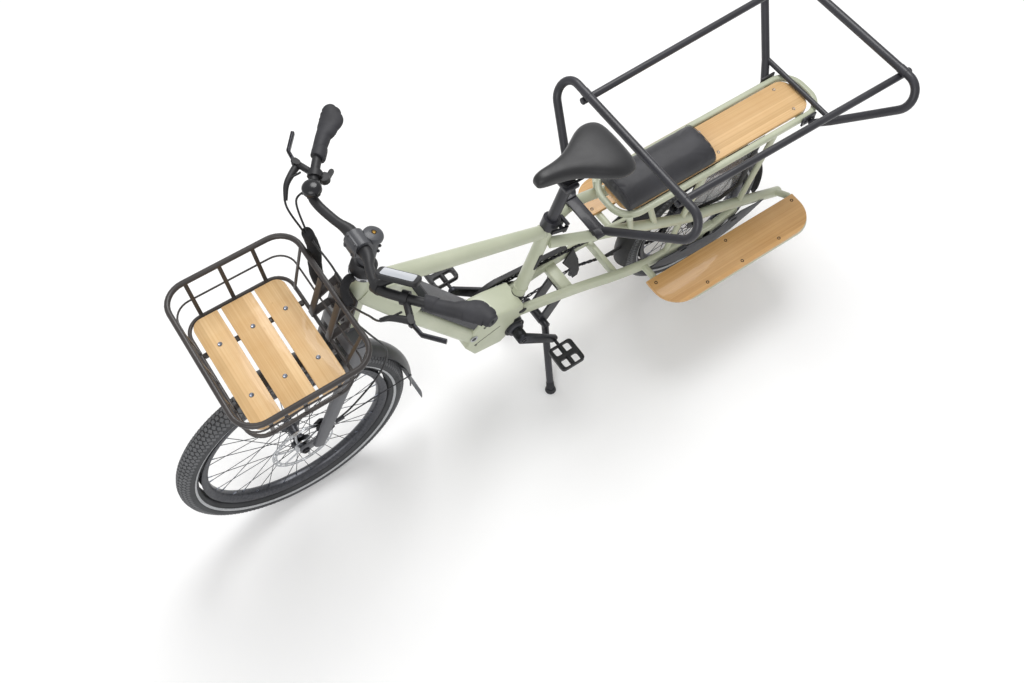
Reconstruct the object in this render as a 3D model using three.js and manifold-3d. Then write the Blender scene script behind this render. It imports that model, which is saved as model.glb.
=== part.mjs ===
// A longtail electric cargo bicycle on its centre stand: welded alloy frame, mid motor, front basket,
// long rear deck with cushion and passenger rail. Millimetres, +X forward, +Y to the rider's left, +Z up.
// Places along the bike are measured from the rear axle; the finished group is centred on its own length.
import * as THREE from "three";
import { mergeVertices } from "three/addons/utils/BufferGeometryUtils.js";
import Module from "manifold-3d";

const wasm = await Module();
wasm.setup();

// Driving dimensions
const clear = 0.3;
const overrun = 5;
const wheelbase = 1374;
const frontTyre = { radius: 334, section: 29, segments: 36 };
const rearTyre = { radius: 258, section: 28, segments: 32 };
const rim = { depth: 23, width: 34, wall: 5 };
const hub = { radius: 18, flangeRadius: 28, flange: 4, bore: 6.4, axle: 6, headRadius: 11 };
const frontHub = { width: 100, flangeOut: 27 };
const rearHub = { width: 136, flangeOut: 27 };
const spoke = { radius: 1.2, count: 20 };
const rotor = { radius: 90, inner: 76, hubRadius: 24, thick: 2, out: 41, arms: 6, armWidth: 9 };
const cassette = { out: 35, guideOut: 48.9, chainOut: 57.4, end: 62, big: 44, chainRadius: 34, small: 27 };
const head = { angle: 68.5, footX: 1330.27, footZ: 294.775, bottom: 478, top: 648, radius: 27, bore: 15.6 };
const bracket = { x: 693, z: 305 };
const seatTube = { angle: 70, setback: 12, radius: 19, bore: 16.1, bottom: 335, top: 660, boreBottom: 430 };
const topTube = { headAt: 603, seatHeight: 632, headRadius: 25, seatRadius: 18 };
const downTube = { x: 825, z: 361, headAt: 595, short: 4, width: 92, depth: 49, headWidth: 56 };
const hump = { start: 349, width: 88, low: 20, rear: 50, front: 38, bevel: 6 };
const shell = { length: 200, height: 160, halfWidth: 48, bevel: 5 };
const drive = { reach: 59, rise: 27, rearRadius: 34, frontRadius: 52, halfWidth: 40, boss: 26, bore: 10.4, bossEnd: 60 };
const battery = { start: 47, length: 300, seat: 25, height: 39, halfWidth: 45, bevel: 8 };
const chainLine = 53;
const chain = { halfWidth: 3.5, halfHeight: 4, play: 0.8 };
const chainring = { radius: 83, thick: 3 };
const cogs = { guideX: 14, guideDrop: 76, tensionX: 48, tensionDrop: 136, radius: 16, thick: 4, cage: 12, cagePlate: 2 };
const idler = { x: 402, z: 215, radius: 20, thick: 5, bore: 4.4, pin: 4 };
const chainGuard = { radius: 104, depth: 14, from: -10, to: 104, tailX: 440, tailZ: 376, halfWidth: 10 };
const crank = { length: 165, restAngle: -134, inner: 84, thick: 15, boss: 18, end: 13, spindle: 10, bore: 10.3, bevel: 4 };
const pedal = { length: 82, width: 82, thick: 16, inner: 118, axle: 5, bore: 5.3, bevel: 3, rail: 13, bridge: 14 };
const rail = { width: 20, depth: 38, front: 659.7, lead: 6, height: 312 };
const stay = { radius: 16 };
const dropout = { inner: 68.3, outer: 86, width: 56, height: 84, bevel: 2 };
const bridges = { standX: 505, standZ: 338, standWidth: 36, standHeight: 27, wheelX: 344, wheelZ: 307, wheelWidth: 16, wheelHeight: 34 };
const strut = { radius: 9, top: 595.7 };
const deck = { height: 605, halfWidth: 78, tube: 9, rear: -365, front: 361, corner: 62, bevel: 4 };
const deckBar = { halfWidth: 10, halfLength: 75, bottom: 595, top: 601.7 };
const deckBoard = { bottom: 602, top: 614, halfWidth: 63, rear: -334, front: 340, corner: 40, bevel: 1.5 };
const groove = { rear: -320, front: 27, halfWidth: 0.8, depth: 1.2 };
const cushion = { rear: 31, front: 338, bottom: 614.3, halfWidth: 70, height: 54, drawIn: 7, edge: 16 };
const footboard = { inner: 140, outer: 258, rear: -290, front: 283, bottom: 297, thick: 12, corner: 82, bevel: 1.5 };
const footrest = { tube: 11, x: 245, rearX: -288, out: 246, innerOut: 158, innerTube: 9, endZ: 262 };
const frontHoop = { tube: 12, corner: 45, x: 297.5, z: 808, halfWidth: 371, footX: 426, footY: 68, footZ: 603, steps: 6 };
const footPlate = { width: 34, length: 27, thick: 4 };
const hoopBar = { x: 436, halfDepth: 18, halfWidth: 86, bottom: 603, top: 611, padIn: 46, padOut: 66, padDrop: 16 };
const rearHoop = { x: -444, z: 826, halfWidth: 350, corner: 50, kneeX: -330, kneeY: 140, kneeZ: 622, footX: -298, footY: 98, footZ: 592 };
const rearBrace = { x: -334, z: 623.5, tube: 8, halfLength: 142 };
const hoopShoe = { rear: -322, front: -272, inner: 87.3, outer: 93, bottom: 588, top: 620 };
const sideBar = { tube: 10, out: 201, splay: 14, bite: 2.5, frontX: 314, overhang: 34 };
const guard = { inner: 57, outer: 60, tab: 70.3, rear: -165, front: 95, top: 589, tabSize: 12, bevel: 1 };
const skirt = { inner: 97, outer: 100, tabIn: 88.3, tabSize: 14, bevel: 1 };
const rearFender = { gap: 23, halfWidth: 31, thick: 2.4, dome: 13, from: -6, to: 186, steps: 13, flap: 30, flapTurn: 24 };
const frontFender = { gap: 24, halfWidth: 34, thick: 2.4, dome: 16, from: 75, to: 186, steps: 10, flap: 146, flapTurn: -17 };
const fenderStay = { tie: 5 };
const tailLight = { rear: -335, front: -316, halfWidth: 50, bottom: 564, top: 594.7, bracketFront: -276, bracketHalf: 15, bracket: 3 };
const standHead = { pivotX: 577, pivotZ: 203, halfWidth: 30, plate: 7, shaft: 8, bore: 8.3, foot: 24 };
const standLeg = { x: 626, y: 158, start: 44, radius: 11, pad: 17, padHeight: 15, lug: 12 };
const basket = { rear: 1170, front: 1501, halfWidth: 206, height: 890, corner: 58, rim: 7, wire: 3.5, mid: 835, midRim: 3 };
const basketFloor = { rear: 1218, front: 1487, halfWidth: 179, height: 776, corner: 46, rim: 5, barOut: 78, barHalf: 6 };
const slat = { frontX: 1437.5, middleX: 1353, rearX: 1269.5, endWidth: 71, width: 79, halfLength: 165, thick: 10, corner: 26 };
const basketArm = { out: 40, width: 20, thick: 5, plateBottom: 500, plateTop: 612, plateHalf: 50, plateThick: 7, upper: 600, lower: 520 };
const steerer = { radius: 15, top: 772 };
const crown = { bottom: 425, top: 466, halfDepth: 23, halfWidth: 73, corner: 20, race: 25, bevel: 4 };
const blade = { out: 62, topX: -5, top: 450, bottomX: 20, bottom: 35, topRadius: 21, bottomRadius: 16, flatten: 0.56 };
const forkEnd = { inner: 50.3, thick: 8, width: 26, rise: 11, boss: 15, axleEnd: 64 };
const stemPost = { bottom: 648.3, coverTop: 658, cover: 31, radius: 20, top: 782, cap: 22, capThick: 7, clampRadius: 24, clampHalf: 23 };
const bar = { reach: 35, height: 758, tube: 11.1, clamp: 15.9, clampHalf: 40, x: 124, y: 338, z: 33 };
const grip = { radius: 16.5, bore: 11.4, cap: 4, wingLength: 34, wingWidth: 25, wingThick: 9, wingBack: 20, wingAt: 0.66 };
const brake = { clampAt: 192, clampLength: 16, clampRadius: 17, bodyRadius: 8, pivotX: 15, pivotY: 250, pivotZ: 27, earInner: 5.8, ear: 4 };
const lever = { boss: 8, height: 5.5, bore: 3.4, pin: 3, tipX: -22, tipY: 326, width: 13, thick: 8, kneeX: 12, kneeY: 285 };
const shifter = { x: -20, y: 178, z: 12, radius: 13, height: 16, tipX: -46, tipY: 196, width: 12, thick: 5, gap: 2 };
const bell = { at: 150, dome: 22.5, rise: 18, base: 44, length: 10, ring: 16, post: 4 };
const display = { at: 132, length: 95, width: 47, thick: 12, x: -12, y: 158, z: 62, turn: 130, tilt: -35, bevel: 3 };
const collar = { bottom: 647, top: 679, radius: 25, ear: 14, earBack: 36, pin: 2.6, pinBack: 31, pinOut: 31 };
const collarLever = { boss: 5.4, bore: 2.9, length: 52, thick: 6, height: 14 };
const seatPost = { radius: 15.8, bottom: 470, top: 790, headBack: 6, headLength: 44, headHalf: 30, headThick: 13 };
const saddle = { rear: 345, front: 610, halfWidth: 97, rimRear: 850, rimFront: 885, thick: 46, railRadius: 3.6, railOut: 20 };
const saddleRail = { rear: 395, front: 560, low: 818, rise: 30, bendRear: 430, bendFront: 520 };
const cable = { radius: 2.6, sleeve: 12 };

// Colours
const paint = (color, roughness, metalness) => new THREE.MeshStandardMaterial({ color, roughness, metalness });
const sage = paint("#a9ae97", 0.42, 0.15);
const satinBlack = paint("#2b2b2e", 0.45, 0.3);
const matteBlack = paint("#1c1c1e", 0.7, 0);
const greyPlastic = paint("#45464a", 0.6, 0);
const forkGrey = paint("#5b5c60", 0.5, 0.3);
const rubber = paint("#2a2a2b", 0.85, 0);
const silver = paint("#b9bbbf", 0.3, 0.9);
const bamboo = paint("#dcb178", 0.55, 0);
const fabric = paint("#37373b", 0.8, 0);
const red = paint("#a3161a", 0.35, 0);

// Small maths
const half = 0.5;
const degrees = THREE.MathUtils.degToRad;
const vec = (x, y, z) => new THREE.Vector3(x, y, z);
const flat = (x, y) => new THREE.Vector2(x, y);
const both = [["left", 1], ["right", -1]];
const arcPoints = (x, y, radius, from, to, steps) =>
  Array.from({ length: steps + 1 }, (_, i) => {
    const angle = from + ((to - from) * i) / steps;
    return flat(x + radius * Math.cos(angle), y + radius * Math.sin(angle));
  });
const circle = (x, y, radius, sides) => arcPoints(x, y, radius, 0, 2 * Math.PI, sides).slice(0, sides);
const along = (shares, size) => shares.map(([x, y, z]) => vec(x * size.x, y * size.y, z * size.z));
const shared = (shares, width, height) => shares.map(([x, y]) => flat(x * width, y * height));
const mirrored = (points) => points.map((p) => vec(p.x, -p.y, p.z));

// Closed solids and their joins
function solidOf(geometry) {
  const bare = geometry.index ? geometry.toNonIndexed() : geometry.clone();
  bare.deleteAttribute("normal");
  bare.deleteAttribute("uv");
  const merged = mergeVertices(bare);
  const triVerts = new Uint32Array(merged.index.array);
  return new wasm.Manifold(new wasm.Mesh({ numProp: 3, vertProperties: merged.attributes.position.array, triVerts }));
}

function geometryOf(solid) {
  const { vertProperties, triVerts } = solid.getMesh();
  const geometry = new THREE.BufferGeometry();
  geometry.setAttribute("position", new THREE.BufferAttribute(vertProperties, 3));
  geometry.setIndex(new THREE.BufferAttribute(triVerts, 1));
  geometry.computeVertexNormals();
  return geometry;
}

const join = (...pieces) => geometryOf(pieces.map(solidOf).reduce((sum, next) => sum.add(next)));
const cut = (piece, ...tools) => geometryOf(tools.map(solidOf).reduce((sum, next) => sum.subtract(next), solidOf(piece)));

// A route through chosen points, with each cross-section square to the mean of its two neighbours
class Route extends THREE.Curve {
  constructor(knots, across = null) {
    super();
    this.knots = knots;
    this.across = across;
  }

  getPoint(t) {
    const place = t * (this.knots.length - 1);
    const index = Math.min(Math.floor(place), this.knots.length - 2);
    return this.knots[index].clone().lerp(this.knots[index + 1], place - index);
  }

  getPointAt(u) {
    return this.getPoint(u);
  }

  getTangentAt(u) {
    const last = this.knots.length - 1;
    const index = Math.round(u * last);
    const before = this.knots[index].clone().sub(this.knots[Math.max(index - 1, 0)]).normalize();
    const after = this.knots[Math.min(index + 1, last)].clone().sub(this.knots[index]).normalize();
    return before.add(after).normalize();
  }

  computeFrenetFrames(segments, closed) {
    if (!this.across) return super.computeFrenetFrames(segments, closed);
    const tangents = this.knots.map((_, i) => this.getTangentAt(i / segments));
    const normals = tangents.map((t) => this.across.clone().addScaledVector(t, -t.dot(this.across)).normalize());
    const binormals = tangents.map((t, i) => t.clone().cross(normals[i]));
    return { tangents, normals, binormals };
  }
}

function sweep(outline, knots, across = null) {
  const options = { steps: knots.length - 1, extrudePath: new Route(knots, across), bevelEnabled: false };
  return new THREE.ExtrudeGeometry(new THREE.Shape(outline), options);
}

const tube = (knots, radius, sides = 10) => sweep(circle(0, 0, radius, sides), knots);
const boxTube = (knots, width, depth, across) => {
  const [w, d, c] = [width * half, depth * half, Math.min(width, depth) * cornerShare];
  const outline = [[w, d - c], [w - c, d], [c - w, d], [-w, d - c], [-w, c - d], [c - w, -d], [w - c, -d], [w, c - d]];
  return sweep(outline.map(([x, y]) => flat(x, y)), knots, across);
};
const cornerShare = 0.22;

// The corners of a bent tube rounded to the bending radius
function bend(corners, radius, steps = 4) {
  const knots = [corners[0]];
  for (let i = 1; i < corners.length - 1; i += 1) {
    const back = corners[i - 1].clone().sub(corners[i]).normalize();
    const on = corners[i + 1].clone().sub(corners[i]).normalize();
    const halfAngle = back.angleTo(on) * half;
    const centre = back.clone().add(on).normalize().multiplyScalar(radius / Math.sin(halfAngle)).add(corners[i]);
    const from = back.multiplyScalar(radius / Math.tan(halfAngle)).add(corners[i]).sub(centre);
    const to = on.multiplyScalar(radius / Math.tan(halfAngle)).add(corners[i]).sub(centre);
    const turn = from.angleTo(to);
    for (let step = 0; step <= steps; step += 1) {
      const t = step / steps;
      const start = from.clone().multiplyScalar(Math.sin((1 - t) * turn) / Math.sin(turn));
      knots.push(start.addScaledVector(to, Math.sin(t * turn) / Math.sin(turn)).add(centre));
    }
  }
  return [...knots, corners.at(-1)];
}

function rod(from, to, radius, sides = 12, endRadius = radius) {
  const line = to.clone().sub(from);
  const geometry = new THREE.CylinderGeometry(endRadius, radius, line.length(), sides);
  geometry.applyQuaternion(new THREE.Quaternion().setFromUnitVectors(vec(0, 1, 0), line.normalize()));
  return geometry.translate(...from.clone().add(to).multiplyScalar(half).toArray());
}

function slab(low, high) {
  const size = high.clone().sub(low);
  return new THREE.BoxGeometry(...size.toArray()).translate(...low.clone().add(high).multiplyScalar(half).toArray());
}

// A plate whose outline lies in the side view, from one distance left of the middle to another
function sidePlate(outline, from, to, bevel = 0, holes = []) {
  const shape = new THREE.Shape(outline);
  holes.forEach((hole) => shape.holes.push(new THREE.Path(hole)));
  const depth = Math.abs(to - from) - 2 * bevel;
  const options = { depth, bevelEnabled: bevel > 0, bevelSize: bevel, bevelThickness: bevel, bevelOffset: -bevel, bevelSegments: 1 };
  const geometry = new THREE.ExtrudeGeometry(shape, options).translate(0, 0, bevel);
  return geometry.rotateX(Math.PI * half).translate(0, Math.max(from, to), 0);
}

// A plate whose outline lies in the plan view, from one height to another
function planPlate(outline, from, to, bevel = 0, holes = [], bevelSegments = 1) {
  const shape = new THREE.Shape(outline);
  holes.forEach((hole) => shape.holes.push(new THREE.Path(hole)));
  const options = { depth: to - from - 2 * bevel, bevelEnabled: bevel > 0, bevelSegments };
  const sizes = { bevelSize: bevel, bevelThickness: bevel, bevelOffset: -bevel };
  return new THREE.ExtrudeGeometry(shape, { ...options, ...sizes }).translate(0, 0, from + bevel);
}

function roundedBox(low, high, corner, steps = 4) {
  const quarter = Math.PI * half;
  const centres = [[high.x, high.y, 0], [low.x, high.y, 1], [low.x, low.y, 2], [high.x, low.y, 3]];
  return centres.flatMap(([x, y, turn]) => {
    const inX = x === high.x ? x - corner : x + corner;
    const inY = y === high.y ? y - corner : y + corner;
    return arcPoints(inX, inY, corner, turn * quarter, (turn + 1) * quarter, steps);
  });
}

// A solid of revolution about the wheel axis, faces outward whichever way its profile is listed
function turned(profile, segments) {
  const points = THREE.ShapeUtils.area(profile) > 0 ? profile : [...profile].reverse();
  return new THREE.LatheGeometry(points, segments);
}

const ring = (inner, outer, from, to, segments) =>
  turned([flat(inner, from), flat(outer, from), flat(outer, to), flat(inner, to), flat(inner, from)], segments);

// Places that several pieces share
const headTilt = degrees(head.angle);
const headAxis = vec(-Math.cos(headTilt), 0, Math.sin(headTilt));
const headForward = vec(Math.sin(headTilt), 0, Math.cos(headTilt));
const frontAxle = vec(wheelbase, 0, frontTyre.radius);
const rearAxle = vec(0, 0, rearTyre.radius);
const steerFoot = vec(head.footX, 0, head.footZ);
const toFrontAxle = frontAxle.clone().sub(steerFoot);
const forkReach = vec(toFrontAxle.dot(headForward), 0, toFrontAxle.dot(headAxis));
const onHead = (up, forward = 0, left = 0) => {
  const place = steerFoot.clone().addScaledVector(headAxis, up).addScaledVector(headForward, forward);
  return place.setY(left);
};
const steered = (geometry) => geometry.rotateY(headTilt - Math.PI * half).translate(...steerFoot.toArray());
const bottomBracket = vec(bracket.x, 0, bracket.z);
const seatTilt = degrees(seatTube.angle);
const onSeat = (height) => {
  const run = (height - bracket.z) / Math.tan(seatTilt);
  return vec(bracket.x - seatTube.setback - run, 0, height);
};
const seated = (geometry, height) => geometry.rotateY(seatTilt - Math.PI * half).translate(...onSeat(height).toArray());
const downRun = onHead(downTube.headAt).sub(vec(downTube.x, 0, downTube.z));
const downTilt = Math.atan2(downRun.z, downRun.x);
const downLength = downRun.length() - downTube.short;
const onDown = (up, above) => {
  const x = downTube.x + up * Math.cos(downTilt) - above * Math.sin(downTilt);
  return flat(x, downTube.z + up * Math.sin(downTilt) + above * Math.cos(downTilt));
};
const barCentre = onHead(bar.height, bar.reach);
const seatHole = (radius, from, to) => rod(onSeat(from), onSeat(to), radius, 16);

const bike = new THREE.Group();
const add = (name, geometry, material, place = null) => {
  const mesh = new THREE.Mesh(geometry, material);
  mesh.name = name;
  if (place) mesh.position.copy(place);
  bike.add(mesh);
  return mesh;
};

// Wheels
function tyreRing(tyre) {
  const section = circle(tyre.radius - tyre.section, 0, tyre.section, 10);
  return turned([...section, section[0]], tyre.segments);
}

const rimShares = { narrow: 0.6, inset: 0.075, waist: 0.7, spokeRoot: 0.86, spokeRim: 0.25 };
const spokeLean = degrees(70);
function wheelCore(tyre, hubSize, extra = []) {
  const outer = tyre.radius - 2 * tyre.section - clear;
  const inner = outer - rim.depth;
  const w = rim.width * half;
  const section = [flat(inner, -w * rimShares.narrow), flat(outer, -w), flat(outer, w), flat(inner, w * rimShares.narrow)];
  const rimRing = turned([...section, section[0]], tyre.segments);
  const end = hubSize.width * half - clear;
  const f = hubSize.flangeOut;
  const waist = hub.radius * rimShares.waist;
  const profile = [[hub.bore, -end], [waist, -end], [hub.flangeRadius, -f - hub.flange], [hub.flangeRadius, -f]];
  profile.push([waist, -f], [waist, f], [hub.flangeRadius, f], [hub.flangeRadius, f + hub.flange], [waist, end]);
  profile.push([hub.bore, end], profile[0]);
  const pieces = [rimRing, turned(profile.map(([x, y]) => flat(x, y)), 10)];
  for (let i = 0; i < spoke.count; i += 1) {
    const side = i % 2 ? 1 : -1;
    const lean = (i >> 1) % 2 ? 1 : -1;
    const atRim = (i / spoke.count) * 2 * Math.PI;
    const atHub = atRim + lean * spokeLean;
    const root = hub.flangeRadius * rimShares.spokeRoot;
    const from = vec(root * Math.cos(atHub), side * (f + hub.flange * half), root * Math.sin(atHub));
    const reach = inner + rim.wall;
    const to = vec(reach * Math.cos(atRim), side * w * rimShares.spokeRim, reach * Math.sin(atRim));
    pieces.push(rod(from, to, spoke.radius, 3));
  }
  return join(...pieces, ...extra);
}

function brakeDisc() {
  const pieces = [ring(rotor.inner, rotor.radius, 0, rotor.thick, 20)];
  pieces.push(ring(hub.radius * rimShares.waist - 1, rotor.hubRadius, 0, rotor.thick, 10));
  for (let i = 0; i < rotor.arms; i += 1) {
    const mid = (rotor.inner + rotor.hubRadius) * half;
    const long = rotor.inner - rotor.hubRadius + rotor.armWidth;
    const arm = new THREE.BoxGeometry(long, rotor.thick, rotor.armWidth).translate(mid, rotor.thick * half, 0);
    pieces.push(arm.rotateY((i / rotor.arms) * 2 * Math.PI));
  }
  return join(...pieces).translate(0, rotor.out, 0);
}

function sprockets() {
  const steps = [[cassette.big, cassette.out, cassette.guideOut], [cassette.chainRadius, cassette.guideOut, cassette.chainOut]];
  steps.push([cassette.small, cassette.chainOut, cassette.end]);
  const inner = hub.radius * rimShares.waist - 1;
  const profile = [flat(inner, -cassette.out)];
  steps.forEach(([radius, from, to]) => profile.push(flat(radius, -from), flat(radius, -to)));
  profile.push(flat(inner, -cassette.end), profile[0]);
  return turned(profile, 18);
}

add("tyre_front", tyreRing(frontTyre), rubber, frontAxle);
add("tyre_rear", tyreRing(rearTyre), rubber, rearAxle);
add("wheel_front", wheelCore(frontTyre, frontHub, [brakeDisc()]), satinBlack, frontAxle);
add("wheel_rear", wheelCore(rearTyre, rearHub, [sprockets()]), satinBlack, rearAxle);

// Main frame
const shellShares = [[-0.015, -0.031], [-0.015, 0.25], [-0.165, 0.2625], [-0.165, 0.594], [0.24, 0.725], [0.465, 0.769],
  [0.67, 0.669], [0.81, 0.1875], [0.68, -0.1625], [0.24, -0.256]];
const shellOutline = shared(shellShares, shell.length, shell.height).map((p) => flat(p.x + bracket.x, p.y + bracket.z));

function hullOf(ax, ay, aRadius, bx, by, bRadius, steps = 7) {
  const line = Math.atan2(by - ay, bx - ax);
  const lean = Math.acos((aRadius - bRadius) / Math.hypot(bx - ax, by - ay));
  const around = arcPoints(bx, by, bRadius, line - lean, line + lean, steps);
  return [...around, ...arcPoints(ax, ay, aRadius, line + lean, line + 2 * Math.PI - lean, steps)];
}

const driveOutline = (grow) =>
  hullOf(bracket.x, bracket.z, drive.rearRadius + grow, bracket.x + drive.reach, bracket.z + drive.rise, drive.frontRadius + grow);
const axleRod = (radius, from, to, centre = bottomBracket, sides = 12) =>
  rod(centre.clone().setY(from), centre.clone().setY(to), radius, sides);

// The down tube and its hump draw in toward the head tube
function narrowed(geometry) {
  const places = geometry.attributes.position;
  for (let i = 0; i < places.count; i += 1) {
    const up = (places.getX(i) - downTube.x) * Math.cos(downTilt) + (places.getZ(i) - downTube.z) * Math.sin(downTilt);
    const share = THREE.MathUtils.clamp((up - hump.start - downTube.depth) / (downLength - hump.start - downTube.depth), 0, 1);
    places.setY(i, places.getY(i) * (1 - share * (1 - downTube.headWidth / downTube.width)));
  }
  return geometry;
}

function mainFrame() {
  const headTube = rod(onHead(head.bottom), onHead(head.top), head.radius, 20);
  const wholeTop = rod(onHead(topTube.headAt), onSeat(topTube.seatHeight), topTube.headRadius, 12, topTube.seatRadius);
  const top = cut(wholeTop, rod(onSeat(collar.bottom - clear), onSeat(collar.top + overrun), collar.radius + clear, 20));
  const downEnds = [onDown(0, 0), onDown(hump.start, 0), onDown(downLength, 0)].map((p) => vec(p.x, 0, p.y));
  const down = narrowed(boxTube(downEnds, downTube.width, downTube.depth, vec(0, 1, 0)));
  const humpEnds = [onDown(hump.start, 0), onDown(downLength, -hump.low), onDown(downLength, hump.front)];
  const humpOutline = [...humpEnds, onDown(hump.start, hump.rear)];
  const humpBody = narrowed(sidePlate(humpOutline, -hump.width * half, hump.width * half, hump.bevel));
  const seat = rod(onSeat(seatTube.bottom), onSeat(seatTube.top), seatTube.radius, 16);
  const motorShell = sidePlate(shellOutline, -shell.halfWidth, shell.halfWidth, shell.bevel);
  const pocket = sidePlate(driveOutline(clear), -drive.halfWidth - clear, drive.halfWidth + clear);
  const boss = axleRod(drive.boss + clear, -drive.bossEnd, drive.bossEnd);
  const headBore = rod(onHead(head.bottom - overrun), onHead(head.top + overrun), head.bore, 16);
  const batterySeat = batteryBody(clear);
  const body = join(motorShell, down, humpBody, headTube, top, seat);
  return cut(body, pocket, boss, headBore, seatHole(seatTube.bore, seatTube.boreBottom, seatTube.top + overrun), batterySeat);
}

function batteryBody(grow) {
  const [from, to] = [battery.start - grow, battery.start + battery.length + grow];
  const [low, high] = [battery.seat - grow, battery.seat + battery.height + grow];
  const outline = [onDown(from, low), onDown(to, low), onDown(to, high), onDown(from + battery.height * half, high)];
  const side = battery.halfWidth + grow;
  return sidePlate([...outline, onDown(from, (low + high) * half)], -side, side, grow ? 0 : battery.bevel);
}

add("main_frame", mainFrame(), sage);
add("battery", batteryBody(0), greyPlastic);
const driveBody = join(sidePlate(driveOutline(0), -drive.halfWidth, drive.halfWidth), axleRod(drive.boss, -shell.halfWidth - 1, drive.bossEnd));
add("drive_unit", cut(driveBody, axleRod(drive.bore, -drive.bossEnd - overrun, drive.bossEnd + overrun)), greyPlastic);

// Rear triangles, each a rail, a bent stay, struts and a dropout plate
const railShares = [[0.3493, 0.744, 1.09], [0.2518, 0.949, 1], [0.1703, 1, 0.9135], [0.1041, 1, 0.891],
  [0.0197, 1, 0.84], [-0.083, 1, 0.955]];
const stayShares = [[0.4119, 0.256, 0.998], [0.3785, 0.436, 0.985], [0.3421, 0.641, 0.972], [0.3057, 0.795, 0.955],
  [0.2598, 0.897, 0.919], [0.1965, 0.974, 0.846], [0.0713, 1, 0.686], [-0.0175, 1, 0.607], [-0.0793, 1, 0.545],
  [-0.2009, 1.026, 0.423], [-0.2205, 1.026, 0.403]];
const railStart = { y: 36, z: 361 };
const strutShares = [[[0.2476, 1], [0.2402, 0.908]], [[0.1973, 1], [0.1732, 0.828]],
  [[0.0546, 1], [0.0917, 0.717], [0.1164, 0.475]], [[-0.1324, 1], [-0.0866, 0.558]]];
const railKnots = (side) => {
  const rest = along(railShares, { x: wheelbase, y: side * deck.halfWidth, z: rail.height });
  const first = vec(rail.front, side * railStart.y, railStart.z);
  const lead = first.clone().sub(rest[0]).normalize().multiplyScalar(rail.lead);
  return [first.clone().add(lead), ...rest];
};
const stayKnots = (side) => along(stayShares, { x: wheelbase, y: side * deck.halfWidth, z: deck.height });
const railBody = (side, grow) => boxTube(railKnots(side), rail.width + 2 * grow, rail.depth + 2 * grow, vec(0, 1, 0));
const stayBody = (side, grow) => tube(stayKnots(side), stay.radius + grow, 8);

function rearSide(side) {
  const pieces = [railBody(side, 0), stayBody(side, 0)];
  strutShares.forEach((places) => {
    const knots = places.map(([x, z]) => vec(x * wheelbase, side * deck.halfWidth, z * deck.height));
    pieces.push(tube(knots, strut.radius, 6));
  });
  const plateLow = flat(-dropout.width * half, rearTyre.radius - dropout.height * half);
  const plateHigh = flat(dropout.width * half, rearTyre.radius + dropout.height * half);
  const plate = roundedBox(plateLow, plateHigh, dropout.width * cornerShare, 2);
  pieces.push(sidePlate(plate, side * dropout.inner, side * dropout.outer, dropout.bevel));
  if (side > 0) {
    const standHalf = vec(bridges.standWidth, 0, bridges.standHeight).multiplyScalar(half);
    const wheelHalf = vec(bridges.wheelWidth, 0, bridges.wheelHeight).multiplyScalar(half);
    const standMid = vec(bridges.standX, 0, bridges.standZ);
    const wheelMid = vec(bridges.wheelX, 0, bridges.wheelZ);
    const standOut = deck.halfWidth * bridgeShares.stand;
    const wheelOut = deck.halfWidth * bridgeShares.wheel;
    const standBridge = slab(standMid.clone().sub(standHalf).setY(-standOut), standMid.clone().add(standHalf).setY(standOut));
    const wheelBridge = slab(wheelMid.clone().sub(wheelHalf).setY(-wheelOut), wheelMid.clone().add(wheelHalf).setY(wheelOut));
    pieces.push(cut(standBridge, railBody(-1, clear)), cut(wheelBridge, railBody(-1, clear)));
    pieces.push(axleRod(hub.axle, -dropout.outer - overrun, dropout.outer, rearAxle));
    pieces.push(axleRod(hub.headRadius, dropout.outer - overrun, dropout.outer + overrun, rearAxle));
  }
  const deckGap = slab(vec(deck.rear, -wheelbase, strut.top), vec(stayGapFront, wheelbase, deck.height * 2));
  const shellGap = slab(vec(rail.front, -wheelbase, 0), vec(wheelbase, wheelbase, strut.top));
  const tools = [deckGap, shellGap, seatHole(seatTube.radius + clear, seatTube.boreBottom, seatTube.top)];
  if (side < 0) tools.push(axleRod(hub.bore, -dropout.outer - overrun, 0, rearAxle));
  return cut(join(...pieces), ...tools);
}
const bridgeShares = { stand: 0.69, wheel: 0.92 };
const stayGapFront = 380;

add("rear_side_left", rearSide(1), sage);
add("rear_side_right", rearSide(-1), sage);

// Deck
const deckLoop = (grow, shrink) =>
  roundedBox(flat(deck.rear - grow, -deck.halfWidth - grow), flat(deck.front + grow, deck.halfWidth + grow), deck.corner - shrink, 3);
const deckBars = [-285, -3, 300];
const deckFrame = planPlate(deckLoop(deck.tube, -deck.tube), deck.height - deck.tube, deck.height + deck.tube, deck.bevel,
  [deckLoop(-deck.tube, deck.tube)]);
const crossBars = deckBars.map((x) =>
  slab(vec(x - deckBar.halfWidth, -deckBar.halfLength, deckBar.bottom), vec(x + deckBar.halfWidth, deckBar.halfLength, deckBar.top)));
add("deck_rail", join(deckFrame, ...crossBars), sage);
const boardOutline = roundedBox(flat(deckBoard.rear, -deckBoard.halfWidth), flat(deckBoard.front, deckBoard.halfWidth), deckBoard.corner);
const grooves = [groove.rear, groove.front].map((x) =>
  slab(vec(x - groove.halfWidth, -deck.halfWidth, deckBoard.top - groove.depth), vec(x + groove.halfWidth, deck.halfWidth, deckBoard.top + overrun)));
add("deck_board", cut(planPlate(boardOutline, deckBoard.bottom, deckBoard.top, deckBoard.bevel), ...grooves), bamboo);

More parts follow.
